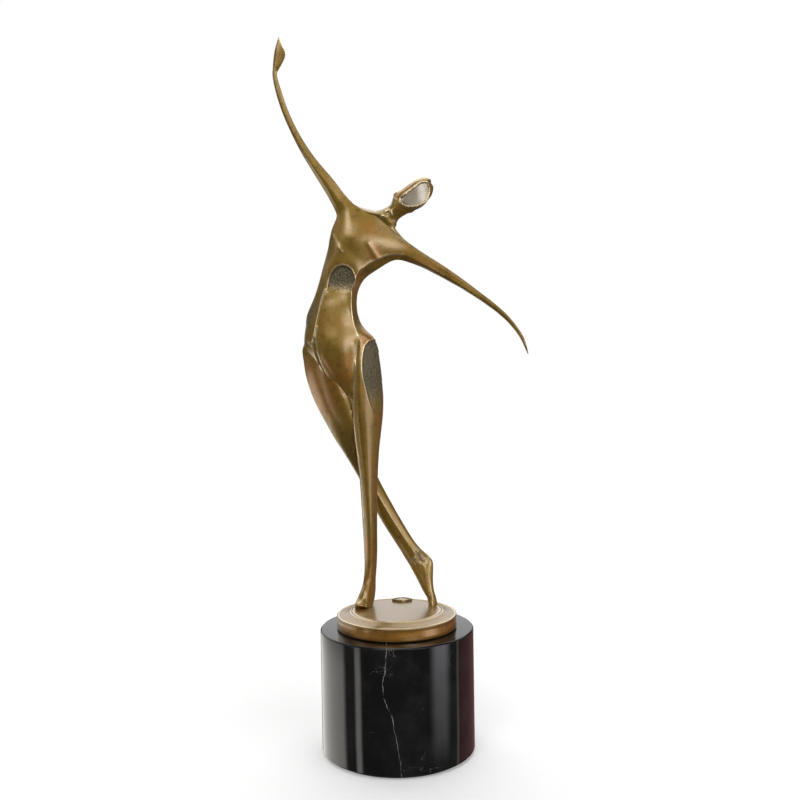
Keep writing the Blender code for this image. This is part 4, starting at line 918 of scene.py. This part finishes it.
def makeBasePlate():
    radius, top, bottom = basePlate["radius"], plateTop, plateLow.z
    groove = radius - basePlate["grooveToEdge"]
    half = basePlate["grooveWidth"] / 2
    rim = bottom + basePlate["rimHeight"]
    bead = basePlate["beadRadius"]
    profile = [(0, top)]
    profile += [(groove * share, top) for share in (0.35, 0.7, 0.93)]
    profile += [(groove - half - 0.0002, top), (groove - half, top - 0.00008)]
    profile += [(groove + half * math.cos(turn), top - 0.00012 - basePlate["grooveDepth"] * math.sin(turn) ** 0.8)
                for turn in np.linspace(math.pi * 0.92, math.pi * 0.08, 7)]
    profile += [(groove + half, top - 0.00008), (groove + half + 0.00025, top - 0.00004)]
    # the sloping ring, from beside the groove out to the bead
    inner, outer = groove + half + 0.00025, radius - 2 * bead
    for share in np.linspace(0.12, 1, 8):
        slope = (top - 0.00004) + (rim + bead * 0.3 - top) * share
        profile.append((inner + (outer - inner) * share, slope - basePlate["ringDip"] * math.sin(math.pi * share)))
    # the bead is a round of its own, then the side
    profile += [(radius - bead + bead * math.cos(turn), rim + bead * math.sin(turn) * 0.75)
                for turn in np.linspace(math.pi * 0.80, -0.1, 9)]
    profile += [(radius - 0.0003, rim - 0.0009), (radius - 0.00035, rim - 0.0018), (radius - 0.00022, rim - 0.0036),
                (radius - 0.00005, rim - 0.0052), (radius, bottom + 0.0011), (radius - 0.0001, bottom + 0.0006),
                (radius - 0.0004, bottom + 0.00015), (radius - 0.0009, bottom)]
    hollow = radius - basePlate["wall"]
    ceiling = top - basePlate["wall"]
    profile += [(hollow, bottom), (hollow, ceiling - 0.0012), (hollow - 0.0004, ceiling - 0.0004),
                (hollow - 0.0012, ceiling), (basePlate["boss"] + 0.0006, ceiling), (basePlate["boss"], ceiling - 0.0006),
                (basePlate["boss"], bottom), (0, bottom)]
    piece = turnedShell("bronze_base_plate", profile, basePlate["segments"])
    mesh = piece.data
    points = readPoints(mesh)
    normals = readNormals(mesh)
    reach = np.hypot(points[:, 0], points[:, 1])
    # hand-finished: the ring and the disc wave a little
    worked = noiseAt(points, 0.011, 2.0) * 0.00005 * (points[:, 2] > rim - 0.004) * (reach < radius - 0.0001)
    writePoints(mesh, points + normals * worked[:, None])
    onBead = np.exp(-((reach - (radius - bead * 1.05)) / 0.0006) ** 2) * (points[:, 2] > rim)
    inGroove = np.exp(-((reach - groove) / (half * 0.9)) ** 2) * (points[:, 2] > ceiling)
    lips = np.exp(-((np.abs(reach - groove) - half * 1.7) / 0.00025) ** 2) * (points[:, 2] > top - 0.001)
    foot = smoothStep(points[:, 2], bottom + 0.0018, bottom + 0.0004) * (reach > radius - 0.002)
    # the groove and the foot of the side are darkened with painted shade
    storeMasks(mesh, polish=np.maximum(onBead, lips * 0.8), grime=np.maximum(inGroove, foot * 0.7),
               warm=smoothStep(points[:, 2], rim + 0.0004, rim - 0.0012) * (reach > radius - 0.003))
    return finishPiece(piece, 50, "figure", "base_plate")


seal = {
    "length": 0.0136,
    "width": 0.0086,
    "bulge": 1.35,
    # share of the outline and height of each step, from the foot of the wall to the middle
    "steps": ((1.0, 0.0), (1.0, 0.8), (0.97, 1.0), (0.86, 1.0), (0.83, 0.62), (0.5, 0.9), (0.2, 1.0)),
}


def makeSeal():
    # a blank lozenge with bowed sides, a raised border and a low crown
    low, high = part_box("foundry_seal")
    middle = (low + high) / 2
    bottom = plateTop - dancer["soleSunk"]
    deselectAll()
    bpy.ops.mesh.primitive_circle_add(vertices=64, radius=1, fill_type="NGON",
                                      location=(middle.x, middle.y, bottom))
    piece = bpy.context.active_object
    piece.name = "bronze_foundry_seal"
    applyPlace(piece)
    editAll(piece)
    for _ in seal["steps"][1:]:
        bpy.ops.mesh.inset(thickness=0.1, depth=0)
    leaveEdit()
    points = readPoints(piece.data) - [middle.x, middle.y, 0]
    turns = np.arctan2(points[:, 1], points[:, 0])
    rings = np.round((1 - np.hypot(points[:, 0], points[:, 1])) / 0.1).astype(int)
    bulge = seal["bulge"]
    reach = (np.abs(np.cos(turns)) ** bulge + np.abs(np.sin(turns)) ** bulge) ** (-1 / bulge)
    shares, heights = np.array(seal["steps"])[np.clip(rings, 0, len(seal["steps"]) - 1)].T
    points[:, 0] = np.cos(turns) * reach * shares * seal["length"] / 2 + middle.x
    points[:, 1] = np.sin(turns) * reach * shares * seal["width"] / 2 + middle.y
    points[:, 2] = bottom + heights * (high.z - bottom)
    writePoints(piece.data, points)
    foot = heights < 0.05
    editPicked(piece, "VERT", foot)
    bpy.ops.mesh.edge_face_add()
    leaveEdit()
    tidyShell(piece)
    points = readPoints(piece.data)
    top = smoothStep(points[:, 2], bottom + 0.6 * (high.z - bottom), high.z)
    # below its top the seal is darkened: painted shade in its channel and on its walls
    storeMasks(piece.data, polish=top * 0.25, grime=1 - top)
    return finishPiece(piece, 35, "figure", "foundry_seal")


platePiece = makeBasePlate()
sealPiece = makeSeal()
print("base plate and seal made")

marbleDrum = {
    "radius": (marbleHigh.x - marbleLow.x) / 2,
    "topEdge": 0.0008,
    "holeRadius": 0.0045,
    "counterbore": 0.013,
    "counterboreDepth": 0.0144,
    "segments": 224,
}


def makeMarble():
    radius, low, high = marbleDrum["radius"], marbleLow.z, marbleHigh.z
    hole, seat = marbleDrum["holeRadius"], low + marbleDrum["counterboreDepth"]
    edge = marbleDrum["topEdge"]
    corners = [(hole, high, 0), (radius * 0.6, high, 0), (radius - edge, high, 0.00035),
               (radius, high - edge, 0.00035), (radius, high - 0.02, 0), (radius, low + 0.02, 0),
               (radius, low + edge, 0.0003), (radius - edge, low, 0.0003),
               (marbleDrum["counterbore"], low, 0), (marbleDrum["counterbore"], seat, 0), (hole, seat, 0),
               (hole, high, 0)]
    piece = turnedShell("marble_drum", roundedOutline(corners), marbleDrum["segments"])
    return finishPiece(piece, 30, "plinth", "marble_plinth")


feltDisc = {"segments": 160, "fuzz": 0.00012, "edgeRound": 0.0004}


def makeFelt():
    low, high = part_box("felt_pad")
    radius, top, bottom = (high.x - low.x) / 2, high.z, low.z
    soft = feltDisc["edgeRound"]
    corners = [(0, top, 0), (radius * 0.5, top, 0), (radius, top, soft), (radius, bottom, soft),
               (radius * 0.5, bottom, 0), (0, bottom, 0)]
    piece = turnedShell("felt_disc", roundedOutline(corners), feltDisc["segments"])
    points = readPoints(piece.data)
    rim = smoothStep(np.hypot(points[:, 0], points[:, 1]), radius - 0.002, radius - 0.0005)
    fuzz = np.abs(noiseAt(points, 0.0013, 5.0)) * feltDisc["fuzz"] * rim / radius
    worn = points * (1 - fuzz[:, None] * [1, 1, 0])
    writePoints(piece.data, worn)
    return finishPiece(piece, 60, "plinth", "felt_pad")


marblePiece = makeMarble()
feltPiece = makeFelt()
print("marble drum and felt made")


def newGroup(name, inputs, outputs):
    group = bpy.data.node_groups.new(name, "ShaderNodeTree")
    kinds = {"value": "NodeSocketFloat", "colour": "NodeSocketColor", "vector": "NodeSocketVector"}
    for socketName, kind, start in inputs:
        socket = group.interface.new_socket(socketName, in_out="INPUT", socket_type=kinds[kind])
        if start is not None:
            socket.default_value = start
    for socketName, kind in outputs:
        group.interface.new_socket(socketName, in_out="OUTPUT", socket_type=kinds[kind])
    return group, group.nodes.new("NodeGroupInput").outputs, group.nodes.new("NodeGroupOutput").inputs


def feed(tree, socket, source):
    # source is a fixed value or another node's output
    if isinstance(source, bpy.types.NodeSocket):
        tree.links.new(source, socket)
    else:
        socket.default_value = source


def noiseNode(tree, vector, scale, detail=2.0, roughness=0.5, distortion=0.0):
    node = tree.nodes.new("ShaderNodeTexNoise")
    feed(tree, node.inputs["Vector"], vector)
    feed(tree, node.inputs["Scale"], scale)
    node.inputs["Detail"].default_value = detail
    node.inputs["Roughness"].default_value = roughness
    node.inputs["Distortion"].default_value = distortion
    return node.outputs["Fac"]


def stretch(tree, value, low, high, toLow=0.0, toHigh=1.0):
    node = tree.nodes.new("ShaderNodeMapRange")
    node.interpolation_type = "SMOOTHSTEP"
    for name, source in (("Value", value), ("From Min", low), ("From Max", high),
                         ("To Min", toLow), ("To Max", toHigh)):
        feed(tree, node.inputs[name], source)
    return node.outputs["Result"]


def sumNode(tree, kind, first, second=0.0, third=0.0):
    node = tree.nodes.new("ShaderNodeMath")
    node.operation = kind
    for socket, source in zip(node.inputs, (first, second, third)):
        feed(tree, socket, source)
    return node.outputs[0]


def mixColour(tree, share, first, second, blend="MIX"):
    node = tree.nodes.new("ShaderNodeMix")
    node.data_type = "RGBA"
    node.blend_type = blend
    feed(tree, node.inputs["Factor"], share)
    feed(tree, node.inputs[6], first)
    feed(tree, node.inputs[7], second)
    return node.outputs[2]


def stretchedVector(tree, vector, scale):
    node = tree.nodes.new("ShaderNodeMapping")
    feed(tree, node.inputs["Vector"], vector)
    node.inputs["Scale"].default_value = scale
    return node.outputs["Vector"]


def makePatinaGroup():
    # hot-applied patina: drifting browns and olives, fine mottle, bright worn edges, painted shade in folds, grooves
    # and recesses, and a paler face facet that paints a reflection
    group, given, gives = newGroup("hotPatina", [
        ("Vector", "vector", None), ("Olive", "colour", None), ("Brown", "colour", None), ("Dark", "colour", None),
        ("Polished", "colour", None), ("Grime", "colour", None), ("Face", "colour", None),
        ("Polish", "value", 0.0), ("Rough", "value", 0.0), ("Grime Mask", "value", 0.0), ("Face Mask", "value", 0.0),
        ("Warm Mask", "value", 0.0),
    ], [("Colour", "colour"), ("Roughness", "value"), ("Height", "value"), ("Metal", "value"), ("Coat", "value")])
    at = given["Vector"]
    drift = stretch(group, noiseNode(group, at, 26, 2, 0.5, 0.4), 0.36, 0.64)
    cloud = noiseNode(group, at, 210, 4, 0.62)
    mottle = noiseNode(group, at, 900, 3, 0.7)
    streak = noiseNode(group, stretchedVector(group, at, (700, 700, 90)), 1, 3, 0.6)
    tone = sumNode(group, "ADD", sumNode(group, "MULTIPLY", drift, 0.35),
                   sumNode(group, "MULTIPLY", given["Warm Mask"], 0.75))
    tone = sumNode(group, "ADD", tone, sumNode(group, "MULTIPLY", sumNode(group, "SUBTRACT", cloud, 0.5), 1.1))
    base = mixColour(group, stretch(group, tone, 0.1, 0.95), given["Olive"], given["Brown"])
    darkSpots = stretch(group, sumNode(group, "ADD", sumNode(group, "MULTIPLY", mottle, 0.55),
                                       sumNode(group, "MULTIPLY", cloud, 0.45)), 0.50, 0.36, 0.0, 0.55)
    base = mixColour(group, darkSpots, base, given["Dark"])
    base = mixColour(group, stretch(group, streak, 0.58, 0.78, 0.0, 0.22), base, given["Dark"])
    # the face facet takes the paler Face colour: a painted reflection
    base = mixColour(group, given["Face Mask"], base, given["Face"])
    # the shade mask darkens folds, grooves and recesses towards Dark, mottled by the cloud: painted shade
    paintedShading = sumNode(group, "MULTIPLY", given["Grime Mask"], stretch(group, cloud, 0.3, 0.6, 0.6, 1.0))
    base = mixColour(group, paintedShading, base, given["Dark"])
    pitted = mixColour(group, stretch(group, mottle, 0.4, 0.62), given["Grime"], given["Dark"])
    pitted = mixColour(group, 0.3, pitted, given["Grime"])
    base = mixColour(group, given["Rough"], base, pitted)
    worn = sumNode(group, "MULTIPLY", given["Polish"], stretch(group, cloud, 0.25, 0.5, 0.55, 1.0))
    base = mixColour(group, worn, base, given["Polished"])
    feed(group, gives["Colour"], base)
    dull = stretch(group, cloud, 0.3, 0.7, 0.35, 0.46)
    dull = sumNode(group, "ADD", dull, sumNode(group, "MULTIPLY", darkSpots, 0.10))
    dull = sumNode(group, "ADD", dull, sumNode(group, "MULTIPLY", given["Rough"], 0.28))
    dull = sumNode(group, "ADD", dull, sumNode(group, "MULTIPLY", given["Grime Mask"], 0.18))
    dull = sumNode(group, "SUBTRACT", dull, sumNode(group, "MULTIPLY", worn, 0.16))
    feed(group, gives["Roughness"], dull)
    feed(group, gives["Coat"], sumNode(group, "SUBTRACT", 1.0, sumNode(group, "MULTIPLY", given["Rough"], 0.75)))
    height = sumNode(group, "ADD", sumNode(group, "MULTIPLY", cloud, 0.5), sumNode(group, "MULTIPLY", mottle, 0.35))
    height = sumNode(group, "ADD", height, sumNode(group, "MULTIPLY", sumNode(group, "MULTIPLY", mottle,
                                                                             given["Rough"]), 2.2))
    feed(group, gives["Height"], height)
    metal = sumNode(group, "ADD", 0.60, sumNode(group, "MULTIPLY", worn, 0.35))
    metal = sumNode(group, "SUBTRACT", metal, sumNode(group, "MULTIPLY", given["Rough"], 0.15))
    feed(group, gives["Metal"], metal)
    return group


patinaGroup = makePatinaGroup()
# Face is the paler grey of the head's facet, a painted reflection
bronzeTones = {
    "Olive": (0.350, 0.205, 0.016, 1), "Brown": (0.420, 0.185, 0.012, 1), "Dark": (0.110, 0.056, 0.006, 1),
    "Polished": (0.90, 0.74, 0.42, 1), "Grime": (0.210, 0.190, 0.115, 1), "Face": (0.42, 0.36, 0.27, 1),
}
plateTones = {
    "Olive": (0.30, 0.185, 0.045, 1), "Brown": (0.46, 0.205, 0.018, 1), "Dark": (0.13, 0.070, 0.012, 1),
    "Polished": (0.90, 0.74, 0.42, 1), "Grime": (0.045, 0.032, 0.014, 1), "Face": (0.40, 0.31, 0.21, 1),
}


def startMaterial(name):
    # a new material, its tree, its shader and the object's own coordinates
    material = bpy.data.materials.new(name)
    material.use_nodes = True
    tree = material.node_tree
    return material, tree, tree.nodes["Principled BSDF"], tree.nodes.new("ShaderNodeTexCoord").outputs["Object"]


def addBump(tree, shader, height, distance, strength=1.0):
    node = tree.nodes.new("ShaderNodeBump")
    node.inputs["Strength"].default_value = strength
    node.inputs["Distance"].default_value = distance
    feed(tree, node.inputs["Height"], height)
    feed(tree, shader.inputs["Normal"], node.outputs["Normal"])


def bronzeMaterial(name, tones, coatRoughness, bump):
    material, tree, shader, at = startMaterial(name)
    group = tree.nodes.new("ShaderNodeGroup")
    group.node_tree = patinaGroup
    feed(tree, group.inputs["Vector"], at)
    for tone, colour in tones.items():
        group.inputs[tone].default_value = colour
    for mask, socket in (("polish", "Polish"), ("rough", "Rough"), ("grime", "Grime Mask"), ("face", "Face Mask"),
                         ("warm", "Warm Mask")):
        attribute = tree.nodes.new("ShaderNodeAttribute")
        attribute.attribute_name = mask
        feed(tree, group.inputs[socket], attribute.outputs["Fac"])
    feed(tree, shader.inputs["Base Color"], group.outputs["Colour"])
    feed(tree, shader.inputs["Roughness"], group.outputs["Roughness"])
    feed(tree, shader.inputs["Metallic"], group.outputs["Metal"])
    feed(tree, shader.inputs["Coat Weight"], group.outputs["Coat"])
    addBump(tree, shader, group.outputs["Height"], 0.0002, bump)
    shader.inputs["Coat Roughness"].default_value = coatRoughness
    shader.inputs["Coat IOR"].default_value = 1.68
    return material


def makeMarbleGroup():
    # one long pale vein down the front, hair cracks and scattered grains of calcite
    group, given, gives = newGroup("marbleVeins", [
        ("Vector", "vector", None), ("Ground", "colour", None), ("Cloud", "colour", None), ("Vein", "colour", None),
    ], [("Colour", "colour"), ("Roughness", "value")])
    at = given["Vector"]
    split = group.nodes.new("ShaderNodeSeparateXYZ")
    feed(group, split.inputs[0], at)
    # the vein's sideways place for each height
    route = group.nodes.new("ShaderNodeFloatCurve")
    feed(group, route.inputs["Value"], stretch(group, split.outputs["Z"], 0.0, 0.082))
    curve = route.mapping.curves[0]
    shape = [(0.0, 0.62), (0.12, 0.56), (0.30, 0.50), (0.47, 0.44), (0.66, 0.30), (0.80, 0.27), (0.92, 0.33),
             (1.0, 0.36)]
    for place, height in shape[1:-1]:
        curve.points.new(place, height)
    curve.points[0].location = shape[0]
    curve.points[-1].location = shape[-1]
    route.mapping.update()
    wander = sumNode(group, "MULTIPLY", sumNode(group, "SUBTRACT", noiseNode(group, at, 240, 3, 0.6), 0.5), 0.0022)
    sideways = sumNode(group, "SUBTRACT", sumNode(group, "ADD", split.outputs["X"], wander),
                       stretch(group, route.outputs[0], 0.0, 1.0, -0.0130, 0.0085))
    width = stretch(group, noiseNode(group, at, 160, 2), 0.35, 0.7, 0.00004, 0.00034)
    vein = stretch(group, sumNode(group, "ABSOLUTE", sideways), width, 0.0)
    vein = sumNode(group, "MULTIPLY", vein, stretch(group, split.outputs["Y"], 0.0, -0.01))
    vein = sumNode(group, "MULTIPLY", vein, stretch(group, noiseNode(group, at, 420, 2), 0.34, 0.52, 0.15, 1.0))
    # thinner cracks wherever two folds of a bent noise meet
    cracks = noiseNode(group, stretchedVector(group, at, (1, 1, 1.7)), 34, 4, 0.6, 0.8)
    cracks = stretch(group, sumNode(group, "ABSOLUTE", sumNode(group, "SUBTRACT", cracks, 0.5)), 0.0042, 0.0)
    cracks = sumNode(group, "MULTIPLY", cracks, stretch(group, noiseNode(group, at, 60, 2), 0.55, 0.70, 0.0, 0.55))
    grains = stretch(group, noiseNode(group, at, 1500, 1), 0.755, 0.80)
    grains = sumNode(group, "MULTIPLY", grains, stretch(group, noiseNode(group, at, 90, 2), 0.50, 0.62))
    shown = sumNode(group, "MAXIMUM", vein, cracks)
    shown = sumNode(group, "MAXIMUM", shown, sumNode(group, "MULTIPLY", grains, 0.6))
    ground = mixColour(group, stretch(group, noiseNode(group, at, 45, 5, 0.65), 0.38, 0.72),
                       given["Ground"], given["Cloud"])
    feed(group, gives["Colour"], mixColour(group, shown, ground, given["Vein"]))
    feed(group, gives["Roughness"], stretch(group, shown, 0.0, 1.0, 0.055, 0.22))
    return group


def marbleMaterial():
    material, tree, shader, at = startMaterial("polishedBlackMarble")
    group = tree.nodes.new("ShaderNodeGroup")
    group.node_tree = makeMarbleGroup()
    feed(tree, group.inputs["Vector"], at)
    group.inputs["Ground"].default_value = (0.0060, 0.0055, 0.0058, 1)
    group.inputs["Cloud"].default_value = (0.0190, 0.0172, 0.0172, 1)
    group.inputs["Vein"].default_value = (0.42, 0.40, 0.39, 1)
    feed(tree, shader.inputs["Base Color"], group.outputs["Colour"])
    feed(tree, shader.inputs["Roughness"], group.outputs["Roughness"])
    shader.inputs["IOR"].default_value = 1.56
    return material


def feltMaterial():
    material, tree, shader, at = startMaterial("pressedGreenFelt")
    fibres = noiseNode(tree, stretchedVector(tree, at, (2600, 900, 1500)), 1, 4, 0.7, 1.5)
    crossed = noiseNode(tree, stretchedVector(tree, at, (800, 2400, 1500)), 1, 4, 0.7, 1.5)
    tufts = sumNode(tree, "MAXIMUM", fibres, crossed)
    feed(tree, shader.inputs["Base Color"],
         mixColour(tree, stretch(tree, tufts, 0.42, 0.72), (0.008, 0.022, 0.014, 1), (0.030, 0.068, 0.044, 1)))
    shader.inputs["Roughness"].default_value = 0.95
    shader.inputs["Sheen Weight"].default_value = 0.4
    addBump(tree, shader, tufts, 0.0003)
    return material


def zincMaterial():
    # zinc plate: small crystals and a dull bloom
    material, tree, shader, at = startMaterial("zincPlatedSteel")
    crystal = tree.nodes.new("ShaderNodeTexVoronoi")
    crystal.inputs["Scale"].default_value = 900
    feed(tree, crystal.inputs["Vector"], at)
    bloom = noiseNode(tree, at, 300, 3, 0.6)
    tone = sumNode(tree, "ADD", sumNode(tree, "MULTIPLY", crystal.outputs["Distance"], 0.35),
                   sumNode(tree, "MULTIPLY", bloom, 0.65))
    feed(tree, shader.inputs["Base Color"],
         mixColour(tree, stretch(tree, tone, 0.25, 0.6), (0.36, 0.36, 0.37, 1), (0.62, 0.61, 0.58, 1)))
    feed(tree, shader.inputs["Roughness"], stretch(tree, bloom, 0.3, 0.7, 0.26, 0.42))
    shader.inputs["Metallic"].default_value = 1.0
    addBump(tree, shader, tone, 0.00004)
    return material


figureBronze = bronzeMaterial("waxedFigureBronze", bronzeTones, 0.24, 0.35)
plateBronze = bronzeMaterial("turnedPlateBronze", plateTones, 0.20, 0.15)
for piece in dancerPieces:
    piece.data.materials.append(figureBronze)
platePiece.data.materials.append(plateBronze)
sealPiece.data.materials.append(plateBronze)
marblePiece.data.materials.append(marbleMaterial())
feltPiece.data.materials.append(feltMaterial())
zinc = zincMaterial()
for name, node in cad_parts.items():
    if name.endswith(("_dowel", "_stud", "_nut", "_washer")):
        for slot in node.material_slots:
            slot.material = zinc
print("materials made")

studio = {
    "floorSize": 6.0,
    "cameraDistance": 0.611,
    "cameraHeight": 0.250,
    "cameraPitch": 2.0,         # degrees below level
    "cameraRoll": -0.92,
    "lens": 42.26,
    "shift": (0.0084, 0.001),
    "roomLevel": 0.075,
}

# the soft boxes round the table: middle azimuth and elevation, half width and half height, softness, level, colour
# azimuth 0 is towards the camera, and grows to its right
lightPatches = [
    (-22, 43, 17, 11, 9, 4.8, (1.0, 0.99, 0.97)),       # key box, high in front
    (27, 14, 13, 10, 9, 4.4, (0.98, 0.98, 1.0)),        # fill box on the right
    (56, 34, 20, 10, 10, 2.4, (1.0, 1.0, 1.0)),         # second fill box, further round
    (-74, 18, 10, 14, 9, 1.3, (1.0, 0.98, 0.95)),       # box on the left
    (0, 84, 180, 12, 10, 1.6, (1.0, 1.0, 1.0)),         # ceiling
    (-61, -22, 4.5, 10, 3, 1.7, (1.0, 0.99, 0.95)),     # narrow side strip, down to below the table
    (-124, -22, 38, 9, 5, 1.6, (1.0, 0.98, 0.92)),     # pale sheet, left and low
    (-166, 20, 40, 14, 8, 0.95, (1.0, 1.0, 1.0)),        # pale wall behind
    (180, 50, 62, 18, 14, 1.4, (1.0, 1.0, 1.0)),        # the wall's upper part
    (66, -8, 13, 12, 8, 1.8, (0.95, 0.95, 1.0)),        # lower end of the fill box
    (100, -22, 2.0, 36, 2, 0.6, (1.0, 0.8, 0.75)),      # edge of a door
    (135, -24, 30, 30, 6, 0.16, (1.0, 0.25, 0.2)),      # dull red cloth, right and behind
]


def makeFloor():
    deselectAll()
    bpy.ops.mesh.primitive_plane_add(size=studio["floorSize"], location=(0, 0, -0.0002))
    floor = bpy.context.active_object
    floor.name = "studio_floor"
    floor.visible_glossy = False
    material = bpy.data.materials.new("paleFloor")
    material.use_nodes = True
    tree = material.node_tree
    shader = tree.nodes["Principled BSDF"]
    shader.inputs["Roughness"].default_value = 0.9
    shader.inputs["Specular IOR Level"].default_value = 0.1
    # what the camera sees is white paper; what it throws up under the bronze is dimmer
    seen = tree.nodes.new("ShaderNodeLightPath").outputs["Is Camera Ray"]
    feed(tree, shader.inputs["Base Color"], mixColour(tree, seen, (0.30, 0.29, 0.27, 1), (0.9, 0.9, 0.9, 1)))
    feed(tree, shader.inputs["Emission Color"], mixColour(tree, seen, (0, 0, 0, 1), (1, 1, 1, 1)))
    shader.inputs["Emission Strength"].default_value = 0.25
    floor.data.materials.append(material)


def makePatchGroup():
    group, given, gives = newGroup("lightPatch", [
        ("Azimuth", "value", 0.0), ("Elevation", "value", 0.0), ("Middle Azimuth", "value", 0.0),
        ("Middle Elevation", "value", 0.0), ("Half Width", "value", 30.0), ("Half Height", "value", 20.0),
        ("Softness", "value", 10.0)], [("Mask", "value")])
    across = sumNode(group, "WRAP", sumNode(group, "SUBTRACT", given["Azimuth"], given["Middle Azimuth"]), 180, -180)
    upward = sumNode(group, "SUBTRACT", given["Elevation"], given["Middle Elevation"])
    masks = []
    for offset, half in ((across, given["Half Width"]),
                         (upward, given["Half Height"])):
        masks.append(stretch(group, sumNode(group, "ABSOLUTE", offset),
                             sumNode(group, "ADD", half, given["Softness"]),
                             sumNode(group, "SUBTRACT", half, given["Softness"])))
    feed(group, gives["Mask"], sumNode(group, "MULTIPLY", *masks))
    return group


def makeWorld():
    world = bpy.data.worlds.new("paleStudio")
    bpy.context.scene.world = world
    world.use_nodes = True
    tree = world.node_tree
    tree.nodes.clear()
    split = tree.nodes.new("ShaderNodeSeparateXYZ")
    feed(tree, split.inputs[0], tree.nodes.new("ShaderNodeTexCoord").outputs["Generated"])
    toDegrees = 180 / math.pi
    azimuth = sumNode(tree, "ARCTAN2", split.outputs["X"], sumNode(tree, "MULTIPLY", split.outputs["Y"], -1))
    azimuth = sumNode(tree, "MULTIPLY", azimuth, toDegrees)
    elevation = sumNode(tree, "MULTIPLY", sumNode(tree, "ARCSINE", split.outputs["Z"]), toDegrees)
    patch = makePatchGroup()
    patchSockets = ("Middle Azimuth", "Middle Elevation", "Half Width", "Half Height", "Softness")
    level = studio["roomLevel"]
    light = (level, level, level * 1.02, 1)
    for row in lightPatches:
        node = tree.nodes.new("ShaderNodeGroup")
        node.node_tree = patch
        feed(tree, node.inputs["Azimuth"], azimuth)
        feed(tree, node.inputs["Elevation"], elevation)
        for name, value in zip(patchSockets, row):
            node.inputs[name].default_value = value
        strength, tint = row[5], row[6]
        light = mixColour(tree, node.outputs["Mask"], light, tuple(strength * part for part in tint) + (1,), "ADD")
    seen = tree.nodes.new("ShaderNodeLightPath").outputs["Is Camera Ray"]
    background = tree.nodes.new("ShaderNodeBackground")
    feed(tree, background.inputs["Color"], mixColour(tree, seen, light, (1, 1, 1, 1)))
    feed(tree, tree.nodes.new("ShaderNodeOutputWorld").inputs["Surface"], background.outputs[0])


def makeCamera():
    data = bpy.data.cameras.new("studioCamera")
    data.lens = studio["lens"]
    data.sensor_width = 36
    data.shift_x, data.shift_y = studio["shift"]
    data.clip_start, data.clip_end = 0.01, 50
    camera = bpy.data.objects.new("studioCamera", data)
    bpy.context.scene.collection.objects.link(camera)
    camera.location = (0, -studio["cameraDistance"], studio["cameraHeight"])
    pitch = Matrix.Rotation(math.radians(90 - studio["cameraPitch"]), 3, "X")
    roll = Matrix.Rotation(math.radians(studio["cameraRoll"]), 3, "Z")
    camera.rotation_euler = (pitch @ roll).to_euler()
    bpy.context.scene.camera = camera


makeFloor()
makeWorld()
makeCamera()
scene = bpy.context.scene
scene.view_settings.view_transform = "Standard"
scene.view_settings.look = "None"
print("studio set")
